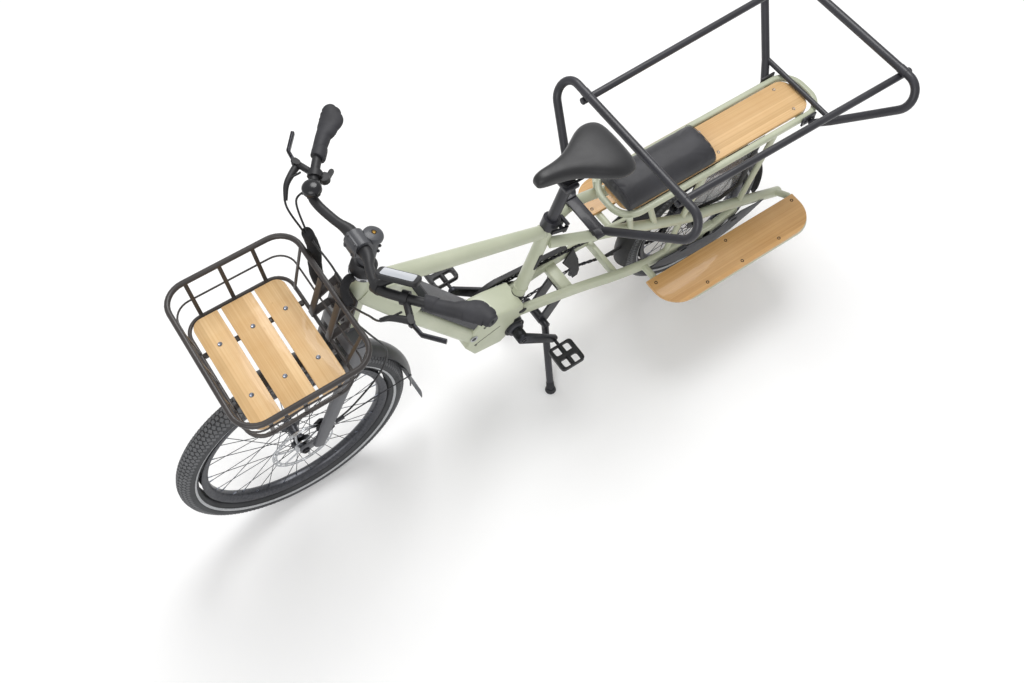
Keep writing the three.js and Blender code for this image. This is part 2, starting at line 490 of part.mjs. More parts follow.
// The passenger cushion: an arched pad with a crown and sides that draw in under it
const archShares = [[0.9, 0], [0.97, 0.12], [1, 0.28], [0.98, 0.45], [0.9, 0.64], [0.74, 0.81], [0.5, 0.93], [0.25, 0.98], [0, 1],
  [-0.25, 0.98], [-0.5, 0.93], [-0.74, 0.81], [-0.9, 0.64], [-0.98, 0.45], [-1, 0.28], [-0.97, 0.12], [-0.9, 0]];
const cushionEndShares = [0, 0.02, 0.07, 0.2, 0.5, 0.8, 0.93, 0.98, 1];
const cushionFullShares = [0.86, 0.94, 0.985, 0.995, 1, 0.995, 0.985, 0.94, 0.86];
function formed(outline, stations, fullness) {
  const geometry = sweep(outline, stations, vec(0, 1, 0));
  return reshape(geometry, stations, fullness);
}

// Each cross-section scaled about its own base line
function reshape(geometry, stations, fullness) {
  const places = geometry.attributes.position;
  for (let i = 0; i < places.count; i += 1) {
    const index = stations.findIndex((p) => Math.abs(p.x - places.getX(i)) < clear);
    const { wide, tall } = fullness(index);
    const base = stations[index].z;
    places.setY(i, places.getY(i) * wide);
    places.setZ(i, base + (places.getZ(i) - base) * tall);
  }
  geometry.computeVertexNormals();
  return geometry;
}

const cushionStations = cushionEndShares.map((share) => vec(cushion.rear + share * (cushion.front - cushion.rear), 0, cushion.bottom));
const cushionOutline = archShares.map(([y, z]) => flat(y * cushion.halfWidth, z * cushion.height));
const cushionBody = formed(cushionOutline, cushionStations, (i) => ({ wide: cushionFullShares[i], tall: cushionFullShares[i] }));
add("seat_cushion", cushionBody, fabric);

// Footrests and their boards
const roundFootrest = (side, radius) => {
  const height = footboard.bottom - footrest.tube - clear;
  const out = side * footrest.out;
  const rearEnd = vec(footrest.rearX, side * (deck.halfWidth + stay.radius), footrest.endZ);
  const rearTurn = vec(footrest.rearX, side * footrest.innerOut * footShares.knee, height);
  const corners = [vec(footrest.x, side * deck.halfWidth, height), vec(footrest.x, out, height)];
  const rearCorner = vec(footrest.rearX, out, height);
  const bent = bend([...corners, rearCorner, rearTurn], footboard.corner - footrest.tube);
  return join(tube([...bent, rearEnd], radius, 8), innerRail(side, height));
};
const innerRail = (side, height) => {
  const y = side * footrest.innerOut;
  return rod(vec(footrest.x, y, height), vec(footrest.rearX, y, height), footrest.innerTube, 6);
};
const footShares = { knee: 0.82 };
both.forEach(([name, side]) => {
  const frameSide = [railBody(side, clear), stayBody(side, clear)];
  add(`footrest_${name}`, cut(roundFootrest(side, footrest.tube), ...frameSide), sage);
  const { rear, front, inner, outer, corner } = footboard;
  const quarter = Math.PI * half;
  const frontCorner = arcPoints(front - corner, outer - corner, corner, 0, quarter, 6);
  const rearCorner = arcPoints(rear + corner, outer - corner, corner, quarter, Math.PI, 6);
  const outline = [flat(rear, inner), flat(front, inner), ...frontCorner, ...rearCorner];
  const placed = outline.map((p) => flat(p.x, side * p.y));
  add(`footboard_${name}`, planPlate(placed, footboard.bottom, footboard.bottom + footboard.thick, footboard.bevel), bamboo);
});

// Passenger rail
const hoopRoute = (knots, corner) => bend([...knots, ...mirrored([...knots].reverse())], corner, frontHoop.steps);
function frontHoopBody() {
  const foot = vec(frontHoop.footX, frontHoop.footY, frontHoop.footZ);
  const route = hoopRoute([foot, vec(frontHoop.x, frontHoop.halfWidth, frontHoop.z)], frontHoop.corner);
  const pieces = [tube(route, frontHoop.tube, 10)];
  both.forEach(([, side]) => {
    const centre = vec(hoopBar.x, side * (frontHoop.footY + footPlate.thick), hoopBar.top + clear);
    const reach = vec(footPlate.width * half, footPlate.length * half, 0);
    const low = centre.clone().sub(reach);
    pieces.push(slab(low, centre.clone().add(reach).setZ(hoopBar.top + clear + footPlate.thick)));
  });
  const under = slab(vec(0, -wheelbase, 0), vec(wheelbase, wheelbase, hoopBar.top + clear));
  return cut(join(...pieces), under);
}
add("hoop_front", frontHoopBody(), satinBlack);

function hoopBracket() {
  const plateLow = vec(hoopBar.x - hoopBar.halfDepth, -hoopBar.halfWidth, hoopBar.bottom);
  const pieces = [slab(plateLow, vec(hoopBar.x + hoopBar.halfDepth, hoopBar.halfWidth, hoopBar.top))];
  both.forEach(([, side]) => {
    const [a, b] = [side * hoopBar.padIn, side * hoopBar.padOut];
    const low = vec(hoopBar.x - hoopBar.halfDepth, Math.min(a, b), hoopBar.bottom - hoopBar.padDrop);
    pieces.push(slab(low, vec(hoopBar.x + hoopBar.halfDepth, Math.max(a, b), hoopBar.bottom + 1)));
  });
  return cut(join(...pieces), stayBody(1, clear), stayBody(-1, clear));
}
add("hoop_bracket", hoopBracket(), satinBlack);

function rearHoopBody() {
  const foot = vec(rearHoop.footX, rearHoop.footY, rearHoop.footZ);
  const knee = vec(rearHoop.kneeX, rearHoop.kneeY, rearHoop.kneeZ);
  const upper = hoopRoute([knee, vec(rearHoop.x, rearHoop.halfWidth, rearHoop.z)], rearHoop.corner);
  const route = [foot, ...upper, foot.clone().setY(-rearHoop.footY)];
  const brace = rod(vec(rearBrace.x, -rearBrace.halfLength, rearBrace.z), vec(rearBrace.x, rearBrace.halfLength, rearBrace.z), rearBrace.tube, 10);
  const shoes = both.map(([, side]) => {
    const [a, b] = [side * hoopShoe.inner, side * hoopShoe.outer];
    return slab(vec(hoopShoe.rear, Math.min(a, b), hoopShoe.bottom), vec(hoopShoe.front, Math.max(a, b), hoopShoe.top));
  });
  const railSide = slab(vec(deck.rear, -hoopShoe.inner, 0), vec(0, hoopShoe.inner, deck.height + deck.tube + clear));
  return cut(join(tube(route, frontHoop.tube, 10), brace, ...shoes), railSide);
}
add("hoop_rear", rearHoopBody(), satinBlack);

both.forEach(([name, side]) => {
  const hang = frontHoop.tube + sideBar.tube - sideBar.bite;
  const underHoops = (x) => {
    const share = (frontHoop.x - x) / (frontHoop.x - rearHoop.x);
    const z = frontHoop.z - hang + share * (rearHoop.z - frontHoop.z);
    return vec(x, side * (sideBar.out + share * sideBar.splay), z);
  };
  const crossbars = [frontHoop, rearHoop].map(({ x, z, halfWidth }) => {
    const grown = (frontHoop.tube + clear) / Math.cos(Math.PI / 12);
    return rod(vec(x, -halfWidth, z), vec(x, halfWidth, z), grown, 12);
  });
  const [start, end] = [underHoops(sideBar.frontX), underHoops(rearHoop.x - sideBar.overhang)];
  add(`side_bar_${name}`, cut(rod(start, end, sideBar.tube, 12), ...crossbars), satinBlack);
});

// Wheel guards, skirts and fenders
const guardShares = [[0, 1], [0.93, 1], [1, 0.35], [0.86, 0.02], [0.42, -0.1], [0.12, 0.02]];
const guardDrop = 205;
const skirtShares = [[0, 0.86], [0.22, 1], [0.44, 0.63], [0.6, 0.74], [0.94, 0.93], [1, 0.78], [0.87, 0.42], [0.72, 0.15], [0.56, 0],
  [0.42, 0], [0.27, 0.18], [0.1, 0.55]];
const skirtBox = { rear: -215, front: 228, bottom: 206, top: 303 };
const skirtTabShare = 0.66;
both.forEach(([name, side]) => {
  const place = ([x, z]) => flat(guard.rear + x * (guard.front - guard.rear), guard.top - (1 - z) * guardDrop);
  const tabs = [0.1, 0.93].map((share) => {
    const x = guard.rear + share * (guard.front - guard.rear);
    return slab(vec(x - guard.tabSize, Math.min(side * guard.inner, side * guard.tab), guard.top - guardDrop * half),
      vec(x + guard.tabSize, Math.max(side * guard.inner, side * guard.tab), guard.top - guardDrop * half + guard.tabSize));
  });
  const panel = sidePlate(guardShares.map(place), side * guard.inner, side * guard.outer, guard.bevel);
  add(`wheel_guard_${name}`, join(panel, ...tabs), greyPlastic);
  const size = flat(skirtBox.front - skirtBox.rear, skirtBox.top - skirtBox.bottom);
  const outline = skirtShares.map(([x, z]) => flat(skirtBox.rear + x * size.x, skirtBox.bottom + z * size.y));
  const blade = sidePlate(outline, side * skirt.inner, side * skirt.outer, skirt.bevel);
  const rests = [0.27, 0.72].map((share) => {
    const x = skirtBox.rear + share * size.x;
    const [a, b] = [side * skirt.tabIn, side * skirt.outer];
    const z = skirtBox.bottom + size.y * skirtTabShare;
    return slab(vec(x - skirt.tabSize, Math.min(a, b), z), vec(x + skirt.tabSize, Math.max(a, b), z + skirt.tabSize));
  });
  add(`skirt_${name}`, cut(join(blade, ...rests), roundFootrest(side, footrest.tube + clear)), greyPlastic);
});

const rearReach = rearTyre.radius + rearFender.gap;
const frontReach = frontTyre.radius + frontFender.gap;
function fenderArc(axle, reach, size) {
  const outline = [];
  const w = size.halfWidth;
  const shares = [-1, -0.6, 0, 0.6, 1];
  shares.forEach((share) => outline.push(flat(share * w, size.dome * share * share)));
  [...shares].reverse().forEach((share) => outline.push(flat(share * (w - size.thick), size.thick + size.dome * share * share)));
  const arc = arcPoints(axle.x, axle.z, reach, degrees(size.from), degrees(size.to), size.steps);
  const knots = arc.map((p) => vec(p.x, 0, p.y));
  const end = degrees(size.to + size.flapTurn);
  const away = vec(-Math.sin(end), 0, Math.cos(end));
  const flap = knots.at(-1).clone().addScaledVector(away, size.flap);
  return sweep(outline, [...knots, flap], vec(0, 1, 0));
}

function rearFenderBody() {
  const top = rod(vec(deckBars[1], 0, rearAxle.z + rearReach - fenderStay.tie), vec(deckBars[1], 0, deckBar.bottom - clear),
    fenderStay.tie, 8);
  const tieZ = bridges.wheelZ;
  const ahead = rod(vec(rearReach - 3 * fenderStay.tie, 0, tieZ), vec(bridges.wheelX - bridges.wheelWidth * half - clear, 0, tieZ),
    fenderStay.tie, 8);
  return join(fenderArc(rearAxle, rearReach, rearFender), top, ahead);
}
add("rear_fender", rearFenderBody(), matteBlack);

function frontFenderBody() {
  const crownFoot = onHead(crown.bottom - clear);
  const toAxle = frontAxle.clone().sub(crownFoot).normalize();
  const onArc = frontAxle.clone().addScaledVector(toAxle, -frontReach + fenderStay.tie);
  const tie = rod(onArc, crownFoot.clone().addScaledVector(toAxle, fenderStay.tie), fenderStay.tie, 8);
  const pad = steered(planPlate(roundedBox(flat(-crown.halfDepth, -crown.halfDepth), flat(crown.halfDepth, crown.halfDepth), fenderStay.tie, 1),
    crown.bottom - clear - 2 * fenderStay.tie, crown.bottom - clear));
  return join(fenderArc(frontAxle, frontReach, frontFender), tie, pad);
}
add("front_fender", frontFenderBody(), matteBlack);

const lampBody = slab(vec(tailLight.rear, -tailLight.halfWidth, tailLight.bottom), vec(tailLight.front, tailLight.halfWidth, tailLight.top - 1));
const lampArm = slab(vec(tailLight.rear, -tailLight.bracketHalf, tailLight.top - tailLight.bracket),
  vec(tailLight.bracketFront, tailLight.bracketHalf, tailLight.top));
add("tail_light", join(lampBody, lampArm), red);

// Drivetrain
function beltOutline(wheels, offset) {
  const count = wheels.length;
  const signed = wheels.map((w) => w.turn * (w.radius + w.turn * offset));
  const leave = wheels.map((a, i) => {
    const b = wheels[(i + 1) % count];
    const reach = Math.hypot(b.x - a.x, b.z - a.z);
    return Math.atan2(b.z - a.z, b.x - a.x) - Math.acos((signed[i] - signed[(i + 1) % count]) / reach);
  });
  return wheels.flatMap((w, i) => {
    const from = leave[(i + count - 1) % count];
    let span = (leave[i] - from) % (2 * Math.PI);
    if (w.turn > 0 && span < 0) span += 2 * Math.PI;
    if (w.turn < 0 && span > 0) span -= 2 * Math.PI;
    const steps = Math.max(2, Math.ceil(Math.abs(span) / chainStep));
    return arcPoints(w.x, w.z, signed[i], from, from + span, steps);
  });
}
const chainStep = degrees(12);
const pitchRadius = (radius) => radius + chain.play + chain.halfHeight;
const guideCog = vec(cogs.guideX, -chainLine, rearAxle.z - cogs.guideDrop);
const tensionCog = vec(cogs.tensionX, -chainLine, rearAxle.z - cogs.tensionDrop);
const idlerCentre = vec(idler.x, -chainLine, idler.z);
const beltWheels = [
  { x: bracket.x, z: bracket.z, radius: pitchRadius(chainring.radius), turn: 1 },
  { x: 0, z: rearAxle.z, radius: pitchRadius(cassette.chainRadius), turn: 1 },
  { x: guideCog.x, z: guideCog.z, radius: pitchRadius(cogs.radius), turn: -1 },
  { x: tensionCog.x, z: tensionCog.z, radius: pitchRadius(cogs.radius), turn: 1 },
  { x: idlerCentre.x, z: idlerCentre.z, radius: pitchRadius(idler.radius), turn: -1 },
];
const chainOuter = beltOutline(beltWheels, chain.halfHeight);
const chainInner = beltOutline(beltWheels, -chain.halfHeight);
add("chain", sidePlate(chainOuter, -chainLine - chain.halfWidth, -chainLine + chain.halfWidth, 0, [chainInner]), satinBlack);

function crankArm(side, end) {
  const outline = hullOf(bracket.x, bracket.z, crank.boss, end.x, end.z, crank.end, 4);
  return sidePlate(outline, side * crank.inner, side * (crank.inner + crank.thick), crank.bevel);
}
const crankTurn = degrees(crank.restAngle);
const crankReach = vec(Math.cos(crankTurn), 0, Math.sin(crankTurn)).multiplyScalar(crank.length);
const leftEnd = bottomBracket.clone().add(crankReach);
const rightEnd = bottomBracket.clone().sub(crankReach);
const crankOut = crank.inner + crank.thick;

function cranksetBody() {
  const disc = axleRod(chainring.radius, -chainLine - chainring.thick * half, -chainLine + chainring.thick * half, bottomBracket, 30);
  const sleeve = axleRod(crank.boss, -crankOut + 1, -chainLine, bottomBracket);
  const spindle = axleRod(crank.spindle, -crankOut + 1, crankOut - crank.bevel, bottomBracket);
  const body = join(disc, sleeve, spindle, crankArm(-1, rightEnd));
  return cut(body, axleRod(pedal.bore, -crankOut - overrun, -crank.inner + overrun, rightEnd));
}
add("crankset", cranksetBody(), satinBlack);
const leftSleeve = axleRod(crank.boss, drive.bossEnd + 2, crank.inner + 1);
const leftArm = join(crankArm(1, leftEnd), leftSleeve);
const leftBores = [axleRod(crank.bore, 0, crankOut - crank.bevel + clear), axleRod(pedal.bore, crank.inner - overrun, crankOut + overrun, leftEnd)];
add("crank_left", cut(leftArm, ...leftBores), satinBlack);

const pedalGapShare = 0.17;

both.forEach(([name, side]) => {
  const end = side > 0 ? leftEnd : rightEnd;
  const [low, high] = [flat(-pedal.length * half, 0), flat(pedal.length * half, pedal.width)];
  const outer = roundedBox(low, high, pedal.rail, 2);
  const holes = [0.27, 0.73].map((share) => {
    const y = pedal.width * share;
    const reach = pedal.width * pedalGapShare;
    return roundedBox(flat(low.x + pedal.rail, y - reach), flat(high.x - pedal.rail, y + reach), pedal.rail * half, 2);
  });
  const plate = planPlate(outer, -pedal.thick * half, pedal.thick * half, pedal.bevel, holes);
  const from = side > 0 ? pedal.inner : -pedal.inner - pedal.width;
  plate.translate(end.x, from, end.z);
  const axle = axleRod(pedal.axle, side * (crank.inner + 1), side * (pedal.inner + pedal.width * half), end, 12);
  add(`pedal_${name}`, join(plate, axle), matteBlack);
});

// The chain's idler, its guide plate, the derailleur and the ring guard
const idlerSpan = idler.thick * half;
const idlerWheel = ring(idler.bore, idler.radius, -idlerSpan, idlerSpan, 20).translate(...idlerCentre.toArray());
add("chain_idler", idlerWheel, matteBlack);
const guideShares = [[0.79, 0.66], [0.25, 1], [-0.1, 0.5], [-0.24, 0.05], [-0.16, -0.12], [0.12, -0.14], [0.34, 0.28]];
const guideReach = { x: 66, z: 150 };
function chainGuide() {
  const outline = guideShares.map(([x, z]) => flat(idler.x + x * guideReach.x, idler.z + z * guideReach.z));
  const inner = chainLine - chain.halfWidth - clear;
  const plate = sidePlate(outline, -inner, -inner + guidePlate.thick);
  const pin = axleRod(idler.pin, -inner + 1, -chainLine - idlerSpan - 1, idlerCentre, 12);
  const washer = axleRod(idler.pin * 2, -chainLine - idlerSpan - clear, -chainLine - idlerSpan - guidePlate.thick, idlerCentre, 12);
  return cut(join(plate, pin, washer), railBody(-1, clear));
}
const guidePlate = { thick: 4 };
add("chain_guide", chainGuide(), matteBlack);

function derailleurBody() {
  const inner = chainLine - chain.halfWidth - clear;
  const outer = chainLine + chain.halfWidth + clear;
  const cage = hullOf(tensionCog.x, tensionCog.z, cogs.cage, guideCog.x, guideCog.z, cogs.cage, 5);
  const pieces = [sidePlate(cage, -inner, -inner + cogs.cagePlate), sidePlate(cage, -outer, -outer - cogs.cagePlate)];
  [guideCog, tensionCog].forEach((cog) => {
    pieces.push(axleRod(cogs.cagePlate * 2, -inner + 1, -outer - 1, cog, 8));
    pieces.push(axleRod(cogs.radius, -chainLine - cogs.thick * half, -chainLine + cogs.thick * half, cog, 16));
  });
  const hanger = vec(0, 0, rearAxle.z - dropout.height * hangerShare);
  const arm = hullOf(guideCog.x, guideCog.z, cogs.cage, hanger.x, hanger.z, cogs.cage, 4);
  pieces.push(sidePlate(arm, -outer - cogs.cagePlate * half, -dropout.inner + clear));
  return join(...pieces);
}
const hangerShare = 0.5;
add("derailleur", derailleurBody(), satinBlack);

function chainGuardBody() {
  const { radius, depth } = chainGuard;
  const outer = arcPoints(bracket.x, bracket.z, radius + depth * half, degrees(chainGuard.from), degrees(chainGuard.to), 9);
  const inner = arcPoints(bracket.x, bracket.z, radius, degrees(chainGuard.to), degrees(chainGuard.from), 9);
  const tail = [flat(chainGuard.tailX, chainGuard.tailZ + depth * half), flat(chainGuard.tailX, chainGuard.tailZ)];
  const band = sidePlate([...outer, ...tail, ...inner], -chainLine - chainGuard.halfWidth, -chainLine + chainGuard.halfWidth * guardInShare);
  const tabMid = flat(bracket.x + radius * Math.cos(chainTab.turn), bracket.z + radius * Math.sin(chainTab.turn));
  const tab = slab(vec(tabMid.x - chainTab.reach, -chainLine, tabMid.y - chainTab.drop), vec(tabMid.x, -shell.halfWidth - clear, tabMid.y + depth * half));
  return cut(join(band, tab), stayBody(-1, clear));
}
const guardInShare = 0.4;
const chainTab = { turn: degrees(58), reach: 10, drop: 0 };
add("chain_guard", chainGuardBody(), matteBlack);

// Centre stand
const standShares = [[0, 1], [0.3, 1], [0.98, 0.16], [0.88, -0.1], [0.7, -0.1], [0.1, 0.7]];
function standBracketBody() {
  const topZ = bridges.standZ - bridges.standHeight * half - clear;
  const rear = bridges.standX - bridges.standWidth * half;
  const size = flat(standHead.pivotX - rear + standHead.foot * half, topZ - standHead.pivotZ);
  const outline = standShares.map(([x, z]) => flat(rear + x * size.x, standHead.pivotZ + z * size.y));
  const pivot = vec(standHead.pivotX, 0, standHead.pivotZ);
  const pieces = both.map(([, side]) => sidePlate(outline, side * standHead.halfWidth, side * (standHead.halfWidth - standHead.plate)));
  pieces.push(axleRod(standHead.foot * half * standEyeShare, -standHead.halfWidth, standHead.halfWidth, pivot, 16));
  const topPlate = slab(vec(rear, -standHead.halfWidth, topZ - standHead.plate), vec(rear + bridges.standWidth, standHead.halfWidth, topZ));
  return cut(join(...pieces, topPlate), axleRod(standHead.bore, -wheelbase, wheelbase, pivot));
}
const standEyeShare = 1.15;
add("stand_bracket", standBracketBody(), matteBlack);

function standLegsBody() {
  const pivot = vec(standHead.pivotX, 0, standHead.pivotZ);
  const pieces = [axleRod(standHead.shaft, -standLeg.start - standLeg.radius, standLeg.start + standLeg.radius, pivot)];
  both.forEach(([, side]) => {
    const foot = vec(standLeg.x, side * standLeg.y, standLeg.padHeight * half);
    const start = pivot.clone().setY(side * standLeg.start);
    pieces.push(rod(start, foot, standLeg.radius, 10));
    pieces.push(axleRod(standLeg.lug, side * (standHead.halfWidth + clear), side * (standLeg.start + standLeg.radius), pivot, 14));
    pieces.push(new THREE.CylinderGeometry(standLeg.pad * padTopShare, standLeg.pad, standLeg.padHeight, 12)
      .rotateX(Math.PI * half).translate(foot.x, foot.y, standLeg.padHeight * half));
  });
  return join(...pieces);
}
const padTopShare = 0.8;
add("stand_legs", standLegsBody(), matteBlack);

// Front basket
const basketLoop = (size, grow) => {
  const low = flat(size.rear - grow, -size.halfWidth - grow);
  return roundedBox(low, flat(size.front + grow, size.halfWidth + grow), size.corner + grow, 3);
};
const rimLoop = (size, radius, z) =>
  planPlate(basketLoop(size, 0), z - radius, z + radius, radius > basketFloor.rim ? radius * rimBevelShare : 0, [basketLoop(size, -2 * radius)]);
const rimBevelShare = 0.4;
const middle = (a, b, share) => a + (b - a) * share;
const midShare = (basket.mid - basketFloor.height) / (basket.height - basketFloor.height);
const midLoop = {
  rear: middle(basketFloor.rear, basket.rear, midShare), front: middle(basketFloor.front, basket.front, midShare),
  halfWidth: middle(basketFloor.halfWidth, basket.halfWidth, midShare), corner: basketFloor.corner,
};
const sideWires = [1268, 1353, 1438];
const frontWireShares = [-0.5, 0, 0.5];
function basketBody() {
  const pieces = [rimLoop(basket, basket.rim, basket.height), rimLoop(basketFloor, basketFloor.rim, basketFloor.height)];
  pieces.push(rimLoop(midLoop, basket.midRim, basket.mid));
  const wire = (from, to) => pieces.push(rod(from, to, basket.wire, 4));
  const lowOut = basketFloor.halfWidth - basketFloor.rim;
  const highOut = basket.halfWidth - basket.rim;
  both.forEach(([, side]) => {
    sideWires.forEach((x) => wire(vec(x, side * lowOut, basketFloor.height), vec(x, side * highOut, basket.height)));
    const rearIn = basketFloor.rear + basketFloor.rim;
    wire(vec(rearIn, side * lowOut * wireShare, basketFloor.height), vec(basket.rear + basket.rim, side * highOut * wireShare, basket.height));
    const y = side * basketArm.out;
    const arm = [vec(rearIn, y, basketFloor.height), vec(basket.rear + basket.rim, y, basket.height)];
    pieces.push(boxTube(arm, basketArm.width, basketArm.thick, vec(0, 1, 0)));
    pieces.push(boxTube([onHead(basketArm.lower, head.radius + basketArm.plateThick * half, y), arm[0]],
      basketArm.width, basketArm.thick, vec(0, 1, 0)));
    const upper = arm[0].clone().lerp(arm[1], midShare);
    pieces.push(boxTube([onHead(basketArm.upper, head.radius + basketArm.plateThick * half, y), upper],
      basketArm.width, basketArm.thick, vec(0, 1, 0)));
    const barY = side * basketFloor.barOut;
    pieces.push(slab(vec(basketFloor.rear + basketFloor.rim, barY - basketFloor.barHalf, basketFloor.height - basketFloor.rim),
      vec(basketFloor.front - basketFloor.rim, barY + basketFloor.barHalf, basketFloor.height + basketFloor.rim)));
  });
  frontWireShares.forEach((share) => {
    wire(vec(basketFloor.front - basketFloor.rim, share * lowOut, basketFloor.height), vec(basket.front - basket.rim, share * highOut, basket.height));
  });
  const plate = steered(slab(vec(head.radius + clear, -basketArm.plateHalf, basketArm.plateBottom),
    vec(head.radius + clear + basketArm.plateThick, basketArm.plateHalf, basketArm.plateTop)));
  const headSpace = rod(onHead(head.bottom), onHead(head.top), head.radius + clear, 20);
  return cut(join(...pieces, plate), headSpace);
}
const wireShare = 0.7;
add("basket_frame", basketBody(), satinBlack);

const slatPlate = (x, width, rounded) => {
  const [low, high] = [flat(x - width * half, -slat.halfLength), flat(x + width * half, slat.halfLength)];
  const outline = roundedBox(low, high, slat.corner, 3);
  const kept = outline.map((p) => (rounded * (p.x - x) > 0 ? p : flat(rounded > 0 ? low.x : high.x, squareEnd(p.y))));
  const bottom = basketFloor.height + basketFloor.rim + clear;
  const shape = rounded ? kept.filter((p, i) => i === 0 || p.distanceTo(kept[i - 1]) > clear) : [low, flat(high.x, low.y), high, flat(low.x, high.y)];
  return planPlate(shape, bottom, bottom + slat.thick, deckBoard.bevel);
};
const squareEnd = (y) => Math.sign(y) * slat.halfLength;
add("basket_slat_front", slatPlate(slat.frontX, slat.endWidth, 1), bamboo);
add("basket_slat_middle", slatPlate(slat.middleX, slat.width, 0), bamboo);
add("basket_slat_rear", slatPlate(slat.rearX, slat.endWidth, -1), bamboo);

// Fork, stem and bar
function forkBody() {
  const steer = rod(vec(0, 0, crown.bottom + crown.bevel), vec(0, 0, steerer.top), steerer.radius, 16);
  const race = rod(vec(0, 0, crown.top - 1), vec(0, 0, head.bottom - clear), crown.race, 16);
  const crownOutline = roundedBox(flat(-crown.halfDepth, -crown.halfWidth), flat(crown.halfDepth, crown.halfWidth), crown.corner, 3);
  const pieces = [steer, race, planPlate(crownOutline, crown.bottom, crown.top, crown.bevel)];
  both.forEach(([, side]) => {
    const from = vec(blade.bottomX, 0, blade.bottom);
    const leg = rod(from, vec(blade.topX, 0, blade.top), blade.bottomRadius, 8, blade.topRadius);
    pieces.push(leg.scale(1, blade.flatten, 1).translate(0, side * blade.out, 0));
    const plate = hullOf(blade.bottomX, blade.bottom + forkEnd.rise, forkEnd.width * half, forkReach.x, forkReach.z, forkEnd.boss, 3);
    pieces.push(sidePlate(plate, side * forkEnd.inner, side * (forkEnd.inner + forkEnd.thick)));
  });
  pieces.push(axleRod(hub.axle, -forkEnd.axleEnd, forkEnd.axleEnd, forkReach, 12));
  pieces.push(axleRod(hub.headRadius, forkEnd.inner + forkEnd.thick - 1, forkEnd.axleEnd, forkReach, 12));
  return steered(join(...pieces));
}
add("fork", forkBody(), forkGrey);

function stemBody() {
  const cover = rod(vec(0, 0, stemPost.bottom), vec(0, 0, stemPost.coverTop), stemPost.cover, 8);
  const post = rod(vec(0, 0, stemPost.bottom), vec(0, 0, stemPost.top - stemPost.capThick), stemPost.radius, 16);
  const cap = rod(vec(0, 0, stemPost.top - stemPost.capThick - 1), vec(0, 0, stemPost.top), stemPost.cap, 16);
  const clampMid = vec(bar.reach, 0, bar.height);
  const clamp = axleRod(stemPost.clampRadius, -stemPost.clampHalf, stemPost.clampHalf, clampMid, 16);
  const arm = rod(vec(0, 0, bar.height - stemPost.capThick), clampMid, stemPost.radius, 16);
  const body = join(cover, post, cap, clamp, arm);
  const bores = [rod(vec(0, 0, stemPost.bottom - overrun), vec(0, 0, steerer.top + clear), steerer.radius + clear, 16)];
  bores.push(axleRod(bar.clamp + clear, -stemPost.clampHalf - overrun, stemPost.clampHalf + overrun, clampMid, 16));
  return steered(cut(body, ...bores));
}
add("stem", stemBody(), matteBlack);

const barShares = [[-1, 1, 0.91], [-0.226, 0.66, 1], [0.177, 0.459, 0.82], [0.226, 0.376, 0.61], [0.121, 0.228, 0.27], [0, 0.118, 0]];
const barPlace = ([x, y, z], side) => barCentre.clone().add(vec(x * bar.x, side * y * bar.y, z * bar.z));
const barSide = (side) => barShares.map((share) => barPlace(share, side));
const barKnots = [...barSide(1), barCentre, ...barSide(-1).reverse()];
const barAt = (out, side) => {
  const places = [barCentre, ...barSide(side).reverse()];
  const index = places.findIndex((p) => Math.abs(p.y) >= out);
  const [a, b] = [places[index - 1], places[index]];
  const share = (out - Math.abs(a.y)) / (Math.abs(b.y) - Math.abs(a.y));
  return { place: a.clone().lerp(b, share), line: b.clone().sub(a).normalize() };
};
const barHole = (grow) => tube(barKnots, bar.tube + grow, 10);
const clampOn = (out, side, length, radius) => {
  const { place, line } = barAt(out, side);
  return rod(place.clone().addScaledVector(line, -length * half), place.clone().addScaledVector(line, length * half), radius, 10);
};
const barMiddle = rod(barCentre.clone().setY(-bar.clampHalf), barCentre.clone().setY(bar.clampHalf), bar.clamp, 16);
add("handlebar", join(tube(barKnots, bar.tube, 10), barMiddle), matteBlack);

both.forEach(([name, side]) => {
  const [outer, inner] = barSide(side);
  const line = outer.clone().sub(inner).normalize();
  const from = inner.clone().addScaledVector(line, overrun);
  const to = outer.clone().addScaledVector(line, grip.cap);
  const wing = new THREE.SphereGeometry(1, 10, 5).scale(grip.wingWidth, grip.wingLength, grip.wingThick);
  wing.rotateZ(side * Math.atan2(-line.x, Math.abs(line.y)));
  wing.translate(...from.clone().lerp(to, grip.wingAt).add(vec(-grip.wingBack, 0, 0)).toArray());
  add(`grip_${name}`, cut(join(rod(from, to, grip.radius, 10), wing), barHole(grip.bore - bar.tube)), rubber);
});

